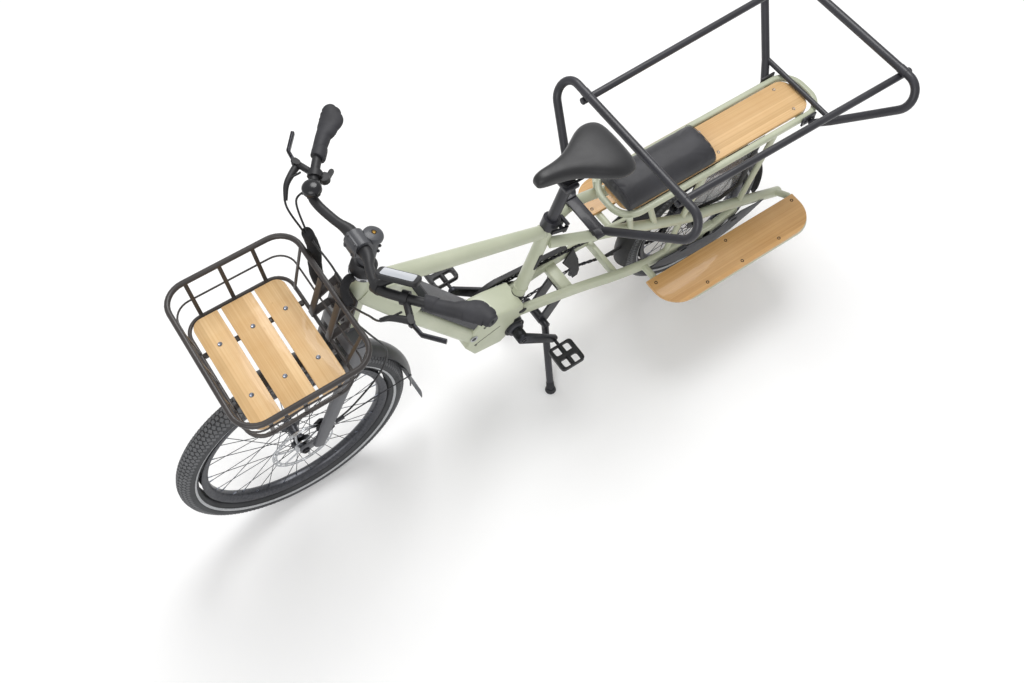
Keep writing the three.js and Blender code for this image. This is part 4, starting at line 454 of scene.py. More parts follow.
def block(bm, low, high, edge=0.0):
    matrix = Matrix.Translation((low + high) / 2) @ Matrix.Diagonal((*(high - low), 1))
    verts = bmesh.ops.create_cube(bm, size=1, matrix=matrix)["verts"]
    if edge:
        edges = list({e for v in verts for e in v.link_edges})
        bmesh.ops.bevel(bm, geom=edges, offset=edge, segments=2, profile=0.5, affect="EDGES", material=-1)
    return verts


# A plate whose outline lies across an axis: "Z" for a plan view, "Y" for a side view
def plate(bm, outline, low, high, axis="Z", edge=0.0, holes=(), segments=2):
    def spot(point):
        return at(point[0], point[1], low) if axis == "Z" else at(point[0], low, point[1])

    loops = []
    for loop in (outline, *holes):
        loops += closed_edges(bm, [bm.verts.new(spot(p)) for p in loop])
    if holes:
        faces = bmesh.ops.triangle_fill(bm, edges=loops, use_beauty=True)["geom"]
        faces = [f for f in faces if isinstance(f, bmesh.types.BMFace)]
    else:
        faces = bmesh.ops.contextual_create(bm, geom=loops)["faces"]
    grown = bmesh.ops.extrude_face_region(bm, geom=faces)["geom"]
    fresh = [v for v in grown if isinstance(v, bmesh.types.BMVert)]
    shift = (UP if axis == "Z" else LEFT) * (high - low)
    bmesh.ops.translate(bm, vec=shift, verts=fresh)
    if edge:
        tops = {e for f in faces for e in f.edges if any(g not in faces for g in e.link_faces)}
        upper = [f for f in grown if isinstance(f, bmesh.types.BMFace)]
        tops |= {e for f in upper for e in f.edges if any(g not in upper for g in e.link_faces)}
        bmesh.ops.bevel(bm, geom=list(tops), offset=edge, segments=segments, profile=0.5, affect="EDGES",
                        material=-1)


def bolt(bm, place, axis, radius, height=2.0):
    verts = bar_between(bm, place, place + axis * height, radius, 18, radius * 0.86)
    top = max({f for v in verts for f in v.link_faces}, key=lambda f: f.calc_center_median().dot(axis))
    bmesh.ops.inset_region(bm, faces=[top], thickness=radius * 0.36)
    bmesh.ops.translate(bm, vec=-axis * height * 0.7, verts=list(top.verts))


def finish_piece(name, bm, materials, body, replaced=(), sharp=38):
    bmesh.ops.remove_doubles(bm, verts=bm.verts, dist=0.01)
    bmesh.ops.recalc_face_normals(bm, faces=bm.faces)
    bm.transform(TO_ROW)
    mesh = bpy.data.meshes.new(name)
    bm.to_mesh(mesh)
    bm.free()
    mesh.shade_smooth()
    mesh.set_sharp_from_angle(angle=math.radians(sharp))
    for finish in materials if isinstance(materials, (list, tuple)) else [materials]:
        mesh.materials.append(finish)
    piece = bpy.data.objects.new(name, mesh)
    bpy.context.collection.objects.link(piece)
    if body:
        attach(piece, body)
    if replaced:
        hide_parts(*([replaced] if isinstance(replaced, str) else replaced))
    return piece


def painted_faces(faces, index, test):
    for face in faces:
        if test(face.calc_center_median()):
            face.material_index = index


# CAD nodes that stay: their loose triangles are merged and shaded smooth up to an angle
def merge_and_smooth(limit):
    group = bpy.data.node_groups.new("merge_and_smooth", "GeometryNodeTree")
    group.interface.new_socket("Geometry", in_out="INPUT", socket_type="NodeSocketGeometry")
    group.interface.new_socket("Geometry", in_out="OUTPUT", socket_type="NodeSocketGeometry")
    start = group.nodes.new("NodeGroupInput")
    merge = group.nodes.new("GeometryNodeMergeByDistance")
    merge.inputs["Distance"].default_value = 0.01 * MM
    soft = group.nodes.new("GeometryNodeSetShadeSmooth")
    crisp = group.nodes.new("GeometryNodeSetShadeSmooth")
    crisp.domain = "EDGE"
    crisp.inputs["Shade Smooth"].default_value = False
    angle = group.nodes.new("GeometryNodeInputMeshEdgeAngle")
    over = group.nodes.new("FunctionNodeCompare")
    over.operation = "GREATER_THAN"
    over.inputs[1].default_value = math.radians(limit)
    end = group.nodes.new("NodeGroupOutput")
    link = group.links.new
    link(start.outputs[0], merge.inputs["Geometry"])
    link(merge.outputs["Geometry"], soft.inputs["Geometry"])
    link(soft.outputs["Geometry"], crisp.inputs["Geometry"])
    link(angle.outputs["Unsigned Angle"], over.inputs[0])
    link(over.outputs[0], crisp.inputs["Selection"])
    link(crisp.outputs["Geometry"], end.inputs[0])
    return group


def keep_nodes(finish, *names):
    group = merge_and_smooth(50)
    for name in names:
        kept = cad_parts[name]
        kept.data.materials.clear()
        kept.data.materials.append(finish)
        kept.modifiers.new("smooth", "NODES").node_group = group


# Wheels
tread = Sizes(leans=(0, 24, 46, 66), lengths=(9.5, 9.5, 9.0, 8.0), sinks=(1.7, 1.7, 1.7, 2.0), thick=3.0, wide=9.4,
              skew=34, ribs=(0.3, 0.95), bead=150)


def tyre(name, axle, size, body):
    bm = bmesh.new()
    middle = size.radius - size.section
    crest = size.section - 2.6
    turns = [math.radians(-tread.bead + 2 * tread.bead * i / 40) for i in range(41)]
    profile = [(middle + crest * math.cos(t), size.section * math.sin(t) * 0.985) for t in turns]
    profile += [(middle - size.section * 0.8, 10), (middle - size.section * 0.8, -10)]
    faces = spun(bm, profile, axle, steps=112, closed=True)

    def on_stripe(place):
        reach = Vector((place.x - axle.x, 0, place.z - axle.z)).length
        return abs(reach - middle + 10) < 1.9 and abs(place.y) > size.section / 2

    painted_faces(faces, 1, on_stripe)
    unit = TURN / size.knobs
    made = []
    for row, (turn, length, sink) in enumerate(zip(tread.leans, tread.lengths, tread.sinks)):
        for side in (1, -1) if row else (1,):
            lean = math.radians(turn) * side
            slide = unit * (0.5 if row % 2 else 0.0)
            skew = math.radians(tread.skew * side * (1 if row % 2 else -1)) if row else 0.0
            spot = Matrix.Rotation(slide, 4, "Y") @ Matrix.Translation((middle, 0, 0)) @ Matrix.Rotation(lean, 4, "Z")
            spot = spot @ Matrix.Translation((size.section - sink, 0, 0)) @ Matrix.Rotation(skew, 4, "X")
            shape = Matrix.Diagonal((tread.thick, tread.wide, length, 1))
            made += bmesh.ops.create_cube(bm, size=1, matrix=Matrix.Translation(axle) @ spot @ shape)["verts"]
    knob_faces = list({f for v in made for f in v.link_faces})
    for face in knob_faces:
        face.material_index = 2
    geom = made + list({e for v in made for e in v.link_edges}) + knob_faces
    bmesh.ops.spin(bm, geom=geom, cent=axle, axis=LEFT, dvec=(0, 0, 0), angle=TURN - unit,
                   steps=size.knobs - 1, use_merge=False, use_duplicate=True)
    for rib in tread.ribs:
        for side in (1, -1):
            reach = middle - size.section * rib * 0.55
            out = size.section * math.sqrt(1 - (rib * 0.55) ** 2) * 0.985
            spun(bm, [(reach + dx, side * (out + dy)) for dx, dy in ((-1, -0.6), (0, 0.7), (1, -0.6))], axle,
                 steps=96, closed=True)
    finish_piece(name, bm, [tyre_rubber, stripe, tread_rubber], body, name)


hub = Sizes(bore=6.4, end=11, shell=13, waist=15.5, flange=28, hole=25.5, front_half=49.7, rear_half=67.7,
            flange_out=27)
rim = Sizes(gap=0.4, deep=22.5)
spokes = Sizes(count=36, crossing=72, thick=1.0, offset=3, rim_out=4)


def rim_and_spokes(bm, axle, size, hub_half, flange_out):
    top = size.radius - 2 * size.section - rim.gap
    outline = [(0, -14), (0, -17), (-5, -17.6), (-15, -15), (-21, -9.5), (-rim.deep, -4), (-rim.deep, 4), (-21, 9.5),
               (-15, 15), (-5, 17.6), (0, 17), (0, 14), (-8, 11.5), (-9.5, 0), (-8, -11.5)]
    spun(bm, [(top + r, y) for r, y in outline], axle, steps=112, closed=True)
    shell = [(hub.bore, -hub_half), (hub.end, -hub_half), (hub.shell, -flange_out - 5), (hub.flange, -flange_out - 3),
             (hub.flange, -flange_out), (hub.waist, -flange_out + 5), (hub.shell, 0)]
    shell += [(r, -y) for r, y in reversed(shell[:-1])]
    spun(bm, shell, axle, steps=40, closed=True)
    nipples = []
    for i in range(spokes.count):
        side = 1 if i % 2 else -1
        lean = 1 if (i // 2) % 2 else -1
        rim_turn = TURN * i / spokes.count
        hub_turn = rim_turn + lean * math.radians(spokes.crossing)
        out = flange_out + (spokes.offset if lean > 0 else 0)
        start = axle + at(hub.hole * math.cos(hub_turn), side * out, hub.hole * math.sin(hub_turn))
        reach = top - rim.deep
        end = axle + at(reach * math.cos(rim_turn), side * spokes.rim_out, reach * math.sin(rim_turn))
        bar_between(bm, start, end, spokes.thick, 8)
        nipples.append((end, (start - end).normalized()))
    return nipples


disc = Sizes(face=41, outer=90, vent_outer=86, vent_inner=80.5, inner=76, thick=2, steps=72, arms=6, hub=20,
             twist=0.42)


def rotor(name, axle, body):
    bm = bmesh.new()
    rings = [(disc.outer, 0), (disc.vent_outer, 0), (disc.vent_inner, 0), (disc.inner, 0)]
    faces = spun(bm, rings, axle + LEFT * disc.face, steps=disc.steps)
    holes = []
    for f in faces:
        spot = f.calc_center_median() - axle
        reach = math.hypot(spot.x, spot.z)
        turn = math.atan2(spot.z, spot.x) % TURN
        if disc.vent_inner < reach < disc.vent_outer and int(turn / TURN * disc.steps) % 3 != 0:
            holes.append(f)
    bmesh.ops.delete(bm, geom=holes, context="FACES")
    bmesh.ops.solidify(bm, geom=list(bm.faces), thickness=disc.thick)
    middle = disc.face + 1
    for i in range(disc.arms):
        turn = TURN * i / disc.arms
        start = axle + at(disc.hub * math.cos(turn), middle, disc.hub * math.sin(turn))
        reach = disc.inner + 2
        end = axle + at(reach * math.cos(turn + disc.twist), middle, reach * math.sin(turn + disc.twist))
        sweep(bm, eased([start, (start + end) / 2 + at(2, 0, -2), end], 4), pill(2, 7, 0.9, 2), across=LEFT)
    spun(bm, [(12, disc.face - 1), (24, disc.face - 1), (24, disc.face + 3), (12, disc.face + 3)], axle, steps=36,
         closed=True)
    finish_piece(name, bm, steel, body, ())


def wheel(name, axle, size, hub_half, flange_out, body):
    bm = bmesh.new()
    nipples = rim_and_spokes(bm, axle, size, hub_half, flange_out)
    finish_piece(name, bm, rim_metal, body, name)
    bm = bmesh.new()
    for end, line in nipples:
        bar_between(bm, end - line * 3, end + line * 11, 2.0, 10, 1.6)
    finish_piece(f"{name}_nipples", bm, zinc, body, ())


cassette = Sizes(radii=(44, 41.5, 39, 36.5, 34, 30.5, 27), first=-36.5, step=3.75, thick=1.6, tooth=4, bore=14)


def sprockets(body):
    bm = bmesh.new()
    for i, radius in enumerate(cassette.radii):
        out = cassette.first - i * cassette.step
        teeth = round(TURN * radius / pitch)
        outline = gear(rear_axle.x, rear_axle.z, radius - cassette.tooth, radius, teeth)
        bore = arc(0, rear_axle.z, cassette.bore, TURN, TURN / 24, 23)
        plate(bm, outline, out - cassette.thick, out, "Y", 0.3, [bore])
    spun(bm, [(cassette.bore, -35), (20, -35), (18, -62), (cassette.bore, -62)], rear_axle, steps=36, closed=True)
    finish_piece("sprockets", bm, dark_steel, body, (), sharp=30)


def gear(cx, cz, root, tip, teeth):
    outline = []
    for i in range(teeth):
        for share, reach in ((0.0, root), (0.18, root), (0.38, tip), (0.6, tip), (0.8, root)):
            turn = TURN * (i + share) / teeth
            outline.append((cx + reach * math.cos(turn), cz + reach * math.sin(turn)))
    return outline


# The places that the frame's pieces share
seat_tube = Sizes(angle=70, back=12, radius=19, low=335, high=660, band=389, weld=420, slot=(508, 556))
seat_turn = math.radians(seat_tube.angle)
top_tube = Sizes(front=603, rear=632, radius=25, rear_radius=18)
down_foot = at(825, 0, 361)
down_run = on_head(595) - down_foot
down_axis = down_run.normalized()
down_over = at(-down_axis.z, 0, down_axis.x)
down_length = down_run.length - 4
head_frame = Matrix.Translation(steer_foot) @ Matrix((head_ahead, LEFT, head_axis)).transposed().to_4x4()


def on_seat(z):
    return at(bracket.x - seat_tube.back - (z - bracket.z) / math.tan(seat_turn), 0, z)


def on_down(up, above, left=0.0):
    return down_foot + down_axis * up + down_over * above + LEFT * left


def side_view(*places):
    return [(p.x, p.z) for p in places]


def fresh_since(bm, before):
    return [v for v in bm.verts if v not in before]


def in_head(bm, before):
    bmesh.ops.transform(bm, matrix=head_frame, verts=fresh_since(bm, before))


def mirrored(place, side):
    return at(place[0], side * place[1], place[2])


down_tube = Sizes(width=92, depth=49, corner=19, taper_from=398, taper=0.39)
down_stations = (0, 120, 240, 349, 380, 410, 440, 470, 500, 530, down_length)
motor_shell = Sizes(half=48, long=200, tall=160)
shell_shares = ((-0.015, -0.031), (-0.015, 0.25), (-0.165, 0.2625), (-0.165, 0.594), (0.24, 0.725), (0.465, 0.769),
                (0.67, 0.669), (0.81, 0.1875), (0.68, -0.1625), (0.24, -0.256))
shell_bolts = ((0.02, 0.1), (-0.1, 0.46), (0.5, 0.62), (0.66, 0.2))
shell_seam = ((826, 339.5), (742, 363.5))
lock = Sizes(x=829.7, z=377, core=7.6, ring=12)
ring_cover = Sizes(outer=93, inner=66, start=25, sweep=145)


def drawn_in(verts):
    for v in verts:
        up = (v.co - down_foot).dot(down_axis)
        share = min(max((up - down_tube.taper_from) / (down_length - down_tube.taper_from), 0), 1)
        v.co.y *= 1 - share * down_tube.taper


def bead(bm, centre, axis, radius, thick=2.2):
    side = axis.orthogonal().normalized()
    over = axis.cross(side)
    turns = [TURN * i / 40 for i in range(40)]
    around = [centre + (side * math.cos(t) + over * math.sin(t)) * radius for t in turns]
    tube(bm, around, thick, 8, closed=True)


def on_shell(x, z):
    return bracket.x + x * motor_shell.long, bracket.z + z * motor_shell.tall


def build_main_frame():
    bm = bmesh.new()
    bore, body, collar, edge = 15.6, 25.8, 27, 26.4
    profile = [(bore, head.bottom), (edge, head.bottom), (collar, head.bottom + 1), (collar, head.bottom + 8),
               (body, head.bottom + 11), (body, head.top - 11), (collar, head.top - 8), (collar, head.top - 1),
               (edge, head.top), (bore, head.top)]
    spun(bm, profile, steer_foot, head_axis, 56, closed=True)
    top_front, top_rear = on_head(top_tube.front), on_seat(top_tube.rear)
    bar_between(bm, top_front, top_rear, top_tube.radius, 48, top_tube.rear_radius)
    before = set(bm.verts)
    section = pill(down_tube.width, down_tube.depth, down_tube.corner, 6)
    sweep(bm, [on_down(up, 0) for up in down_stations], section, across=LEFT)
    hump = side_view(on_down(345, 0), on_down(down_length, -20), on_down(down_length, 38), on_down(368, 50),
                     on_down(352, 44), on_down(346, 30))
    plate(bm, hump, -44, 44, "Y", 11, segments=4)
    drawn_in(fresh_since(bm, before))
    bar_between(bm, on_seat(seat_tube.low), on_seat(seat_tube.high), seat_tube.radius, 40)
    shell = [on_shell(x, z) for x, z in shell_shares]
    plate(bm, shell, -motor_shell.half, motor_shell.half, "Y", 9, segments=5)
    rearward = (top_rear - top_front).normalized()
    forward = (top_front - top_rear).normalized()
    bead(bm, top_front + rearward * 27.5, rearward, 24.4, thick=2.4)
    bead(bm, top_rear + forward * 20, forward, 18.2)
    bead(bm, on_seat(seat_tube.weld), (on_seat(430) - on_seat(seat_tube.weld)).normalized(), seat_tube.radius)
    finish_piece("main_frame", bm, sage, "bike", "main_frame", sharp=35)
    build_frame_trim()
    bm = bmesh.new()
    for side in (1, -1):
        for x, z in shell_bolts:
            x, z = on_shell(x, z)
            bolt(bm, at(x, side * 47.4, z), LEFT * side, 4.6, 1.8)
        bolt(bm, at(bracket.x, side * 99, bracket.z), LEFT * side, 9, 2.2)
    finish_piece("frame_bolts", bm, dark_steel, "bike", ())


def build_frame_trim():
    bm = bmesh.new()
    band = on_seat(seat_tube.band)
    spun(bm, [(19.3, -9), (20, -8), (20, 8), (19.3, 9)], band, (on_seat(400) - band).normalized(), 40, closed=True)
    turns = [TURN * i / 28 for i in range(28)]
    seal = [(bracket.x - 28 + 13 * math.cos(t), bracket.z + 70 + 8 * math.sin(t)) for t in turns]
    plate(bm, seal, 47.4, 49.6, "Y", 0.8)
    for side in (1, -1):
        profile = [(26.5, 46), (33, 46), (33, 49.4), (31, 50.6), (26.5, 50.6)]
        spun(bm, [(r, out * side) for r, out in profile], crank_axle, steps=48, closed=True)
    low, high = (on_seat(z) for z in seat_tube.slot)
    plate(bm, two_wheels(low.x, low.z, 5.5, high.x, high.z, 5.5, 9), 17, 19.7, "Y", 0.5)
    tube(bm, [at(x, motor_shell.half, z) for x, z in shell_seam], 0.9, 8)
    lock_axle = at(lock.x, 0, lock.z)
    spun(bm, [(0, 47.5), (lock.core, 47.5), (lock.core, 49.2), (0, 49.2)], lock_axle, steps=28)
    turns = [math.radians(ring_cover.start + ring_cover.sweep * i / 40) for i in range(41)]
    crescent = [(bracket.x + r * math.cos(t), bracket.z + r * math.sin(t))
                for r, way in ((ring_cover.outer, 1), (ring_cover.inner, -1)) for t in turns[::way]]
    plate(bm, crescent, -49, -47.2, "Y", 0.4)
    finish_piece("frame_trim", bm, black_plastic, "bike", ())
    bm = bmesh.new()
    profile = [(lock.core, 47.5), (lock.ring, 47.5), (lock.ring, 49.6), (11, 50.4), (8.6, 50.4), (lock.core, 49.6)]
    spun(bm, profile, lock_axle, steps=36, closed=True)
    finish_piece("battery_lock_ring", bm, steel, "bike", ())


battery = Sizes(low=47, high=347, inner=25, outer=64, chamfer=68, half=45, seam=45.2)


def build_battery():
    bm = bmesh.new()
    outline = side_view(on_down(battery.low, battery.inner), on_down(battery.high, battery.inner),
                        on_down(battery.high, battery.outer), on_down(battery.chamfer, battery.outer),
                        on_down(battery.low, 45))
    plate(bm, outline, -battery.half, battery.half, "Y", 9, segments=5)
    finish_piece("battery", bm, cover_plastic, "bike", "battery", sharp=40)
    bm = bmesh.new()
    for up in (54, 340):
        places = ((26, battery.seam), (62, battery.seam - 4), (64.4, 34), (64.4, -34), (62, -battery.seam + 4),
                  (26, -battery.seam))
        tube(bm, rounded([on_down(up, above, left) for above, left in places], 4, 4), 0.6, 8)
    spun(bm, [(0, 0), (7.5, 0), (7.5, 1.2), (6, 1.8), (0, 1.8)], on_down(318, 50, 44.8), LEFT, 28)
    finish_piece("battery_trim", bm, black_plastic, "bike", ())


motor = Sizes(half=40, nose=34, body=52, ahead=59, above=27, boss=25, bore=10.4, boss_out=60)


def build_drive_unit():
    bm = bmesh.new()
    outline = two_wheels(bracket.x, bracket.z, motor.nose, bracket.x + motor.ahead, bracket.z + motor.above,
                         motor.body, 14)
    plate(bm, outline, -motor.half, motor.half, "Y", 5, segments=3)
    for side in (1, -1):
        profile = [(motor.bore, motor.half), (motor.boss, motor.half), (motor.boss, motor.boss_out - 2),
                   (motor.boss - 1.6, motor.boss_out), (motor.bore, motor.boss_out)]
        spun(bm, [(r, out * side) for r, out in profile], crank_axle, steps=48, closed=True)
    finish_piece("drive_unit", bm, grey_plastic, "bike", "drive_unit")


side_frame = Sizes(rail=312, stay=16, strut=9, dropout_in=68.3, dropout_out=86)
rail_start = (659.7, 36, 361)
rail_shares = ((0.3493, 0.744, 1.09), (0.2518, 0.949, 1), (0.1703, 1, 0.9135), (0.1041, 1, 0.891), (0.0197, 1, 0.84),
               (-0.083, 1, 0.955))
stay_shares = ((0.4119, 0.256, 0.998), (0.3785, 0.436, 0.985), (0.3421, 0.641, 0.972), (0.3057, 0.795, 0.955),
               (0.2598, 0.897, 0.919), (0.1965, 0.974, 0.846), (0.0713, 1, 0.686), (-0.0175, 1, 0.607),
               (-0.0793, 1, 0.545), (-0.2009, 1.026, 0.423), (-0.2205, 1.026, 0.403))
strut_shares = (((0.2476, 1), (0.2402, 0.908)), ((0.1973, 1), (0.1732, 0.828)),
                ((0.0546, 1), (0.0917, 0.717), (0.1164, 0.475)), ((-0.1324, 1), (-0.0866, 0.558)))
axle_nut = ((0, 86), (15, 86), (15, 88), (12, 90.5), (8, 91), (7, 88.5), (0, 88.5))


def build_rear_sides():
    for name, side in SIDES:
        bm = bmesh.new()
        rail = [at(x * wheelbase, side * y * deck.half, z * side_frame.rail) for x, y, z in rail_shares]
        x, y, z = rail_start
        sweep(bm, eased([at(x, side * y, z), *rail], 4), pill(20, 38, 8, 4), across=LEFT)
        stay = [at(x * wheelbase, side * y * deck.half, z * deck.height) for x, y, z in stay_shares]
        tube(bm, eased(stay, 3), side_frame.stay, 24)
        for places in strut_shares:
            strut = [at(x * wheelbase, side * deck.half, z * deck.height) for x, z in places]
            tube(bm, strut, side_frame.strut, 18)
        low, high = sorted((side * side_frame.dropout_in, side * side_frame.dropout_out))
        drop = [(x, z + rear_axle.z) for x, z in pill(56, 84, 14, 5)]
        plate(bm, drop, low, high, "Y", 2.5)
        if side > 0:
            block(bm, at(487, -54, 324.5), at(523, 54, 351.5), 4)
            block(bm, at(336, -70, 290), at(352, 70, 324), 4)
        finish_piece(f"rear_side_{name}", bm, sage, "bike", f"rear_side_{name}", sharp=35)
        bm = bmesh.new()
        spun(bm, [(r, out * side) for r, out in axle_nut], rear_axle, steps=36)
        bar_between(bm, rear_axle + LEFT * side * 66, rear_axle + LEFT * side * 88, 6, 20)
        finish_piece(f"rear_axle_{name}", bm, dark_steel, "bike", ())


def long_outline(rear, front, half, corner, steps=8):
    middle = (rear + front) / 2
    return [(x + middle, y) for x, y in pill(front - rear, 2 * half, corner, steps)]


deck_board = Sizes(rear=-334, front=340, half=63, corner=40, low=602, top=614)
deck_bars = (-285, -3, 300)
deck_grooves = Sizes(places=(-320, 27), half=0.8, depth=1.2)
deck_screws = ((-279, -43), (-279, 43), (2, -43), (2, 43))


def build_deck():
    bm = bmesh.new()
    path = [at(x, y, deck.height) for x, y in long_outline(deck.rear, deck.front, deck.half, deck.corner)]
    sweep(bm, path, pill(18, 18, 6, 4), closed=True, across=UP)
    for x in deck_bars:
        block(bm, at(x - 10, -75, 595), at(x + 10, 75, 601.7), 1.2)
    finish_piece("deck_rail", bm, sage, "bike", "deck_rail")
    bm = bmesh.new()
    outline = long_outline(deck_board.rear, deck_board.front, deck_board.half, deck_board.corner)
    plate(bm, outline, deck_board.low, deck_board.top, "Z", 1.5)
    for x in deck_grooves.places:
        for place in (x - deck_grooves.half, x, x + deck_grooves.half):
            geom = list(bm.verts) + list(bm.edges) + list(bm.faces)
            bmesh.ops.bisect_plane(bm, geom=geom, plane_co=at(place, 0, 0), plane_no=AHEAD)
        for v in bm.verts:
            if abs(v.co.x - x) < 0.1 and v.co.z > deck_board.top - 1:
                v.co.z -= deck_grooves.depth
    finish_piece("deck_board", bm, deck_wood, "bike", "deck_board", sharp=30)
    bm = bmesh.new()
    for x, y in deck_screws:
        bolt(bm, at(x, y, deck_board.top - 0.6), UP, 5, 1.7)
    finish_piece("deck_screws", bm, zinc, "bike", ())


footrest = Sizes(height=285.7, front=245, rear=-288, inner=78, outer=246, bend=71, tube=11, bar=9, bar_out=158)
footboard = Sizes(rear=-290, front=283, inner=140, corner=82, corner_out=176, corner_front=201, corner_rear=-208,
                  low=297, top=309)
foot_screws = ((-271, 159), (-5, 159), (262, 159), (-145, 243), (0, 243), (134, 243))


def build_footrests():
    for name, side in SIDES:
        bm = bmesh.new()

        def on_rest(x, out):
            return at(x, side * out, footrest.height)

        corners = [on_rest(footrest.front, footrest.inner), on_rest(footrest.front, footrest.outer),
                   on_rest(footrest.rear, footrest.outer), on_rest(footrest.rear, 129.6)]
        path = rounded(corners, footrest.bend, 10) + [at(footrest.rear, side * 94, 262)]
        tube(bm, path, footrest.tube, 24)
        bar_between(bm, on_rest(footrest.front, footrest.bar_out), on_rest(footrest.rear, footrest.bar_out),
                    footrest.bar, 20)
        finish_piece(f"footrest_{name}", bm, sage, "bike", f"footrest_{name}")
        bm = bmesh.new()
        outline = [(footboard.rear, footboard.inner), (footboard.front, footboard.inner)]
        outline += arc(footboard.corner_front, footboard.corner_out, footboard.corner, 0, TURN / 4, 12)
        outline += arc(footboard.corner_rear, footboard.corner_out, footboard.corner, TURN / 4, TURN / 2, 12)
        plate(bm, [(x, side * y) for x, y in outline], footboard.low, footboard.top, "Z", 1.5)
        finish_piece(f"footboard_{name}", bm, foot_wood, "bike", f"footboard_{name}", sharp=30)
        bm = bmesh.new()
        for x, y in foot_screws:
            bolt(bm, at(x, side * y, footboard.top - 0.6), UP, 5.4, 1.8)
        finish_piece(f"footboard_bolts_{name}", bm, dark_steel, "bike", ())


hoop = Sizes(tube=12, brace=8, cut=611.4)
front_hoop = Sizes(foot=(426, 68, 603), top=(297.5, 371, 808), bend=45)
rear_hoop = Sizes(end=(-298, 98, 592), foot=(-330, 140, 622), top=(-444, 350, 826), bend=50)
side_bar = Sizes(front=(297.5, 201, 788.5), rear=(-444, 215, 806.5), ahead=16.5, behind=34, tube=10, edge=2)


def build_hoops():
    bm = bmesh.new()
    corners = [mirrored(front_hoop.foot, 1), mirrored(front_hoop.top, 1), mirrored(front_hoop.top, -1),
               mirrored(front_hoop.foot, -1)]
    tube(bm, rounded(corners, front_hoop.bend, 12), hoop.tube, 28)
    geom = list(bm.verts) + list(bm.edges) + list(bm.faces)
    cut = bmesh.ops.bisect_plane(bm, geom=geom, plane_co=at(0, 0, hoop.cut), plane_no=-UP, clear_outer=True)
    bmesh.ops.holes_fill(bm, edges=[e for e in cut["geom_cut"] if isinstance(e, bmesh.types.BMEdge)])
    for side in (1, -1):
        block(bm, at(419, side * 72 - 13.5, hoop.cut), at(453, side * 72 + 13.5, hoop.cut + 4), 1.2)
    finish_piece("hoop_front", bm, black_coat, "bike", "hoop_front")
    bm = bmesh.new()
    block(bm, at(418, -86, 603), at(454, 86, 611), 2)
    for side in (1, -1):
        block(bm, at(418, side * 56 - 10, 587), at(454, side * 56 + 10, 604), 2)
        for x in (425, 447):
            bolt(bm, at(x, side * 80, 610.4), UP, 4.4, 3)
    finish_piece("hoop_bracket", bm, black_coat, "bike", "hoop_bracket")
    bm = bmesh.new()
    corners = [mirrored(rear_hoop.foot, 1), mirrored(rear_hoop.top, 1), mirrored(rear_hoop.top, -1),
               mirrored(rear_hoop.foot, -1)]
    upper = rounded(corners, rear_hoop.bend, 12)
    tube(bm, [mirrored(rear_hoop.end, 1), *upper, mirrored(rear_hoop.end, -1)], hoop.tube, 28)
    bar_between(bm, at(-334, -142, 623.5), at(-334, 142, 623.5), hoop.brace, 20)
    for side in (1, -1):
        low, high = sorted((side * 87.3, side * 93))
        block(bm, at(-322, low, 588), at(-272, high, 620), 1.5)
        for x in (-313, -281):
            bolt(bm, at(x, side * 93, 604), LEFT * side, 4.4, 3)
    finish_piece("hoop_rear", bm, black_coat, "bike", "hoop_rear")
    for name, side in SIDES:
        bm = bmesh.new()
        front, rear = mirrored(side_bar.front, side), mirrored(side_bar.rear, side)
        slope = (rear - front) / (front.x - rear.x)
        start = front - slope * side_bar.ahead
        end = rear + slope * side_bar.behind
        edge = slope.normalized() * side_bar.edge
        narrow = side_bar.tube - side_bar.edge
        bar_between(bm, start + edge, end - edge, side_bar.tube, 28)
        bar_between(bm, end - edge, end, side_bar.tube, 28, narrow)
        bar_between(bm, start, start + edge, narrow, 28, side_bar.tube)
        for x, y, z in ((front.x, front.y, front_hoop.top[2]), (rear.x, rear.y, rear_hoop.top[2])):
            spun(bm, [(12.1, -13), (12.9, -12), (12.9, 12), (12.1, 13)], at(x, y, z), LEFT, 28, closed=True)
        finish_piece(f"side_bar_{name}", bm, black_coat, "bike", f"side_bar_{name}")


guard = Sizes(rear=-165, top=589, long=260, tall=205, inner=57, outer=60, tab_out=70.3, tab=(486.5, 498.5))
guard_shares = ((0, 1), (0.93, 1), (1, 0.35), (0.86, 0.02), (0.42, -0.1), (0.12, 0.02))
skirt = Sizes(rear=-215, low=206, long=443, tall=97, inner=97, outer=100, tab_in=88.3, tab=(270, 284))
skirt_shares = ((0, 0.86), (0.22, 1), (0.44, 0.63), (0.6, 0.74), (0.94, 0.93), (1, 0.78), (0.87, 0.42), (0.72, 0.15),
                (0.56, 0), (0.42, 0), (0.27, 0.18), (0.1, 0.55))


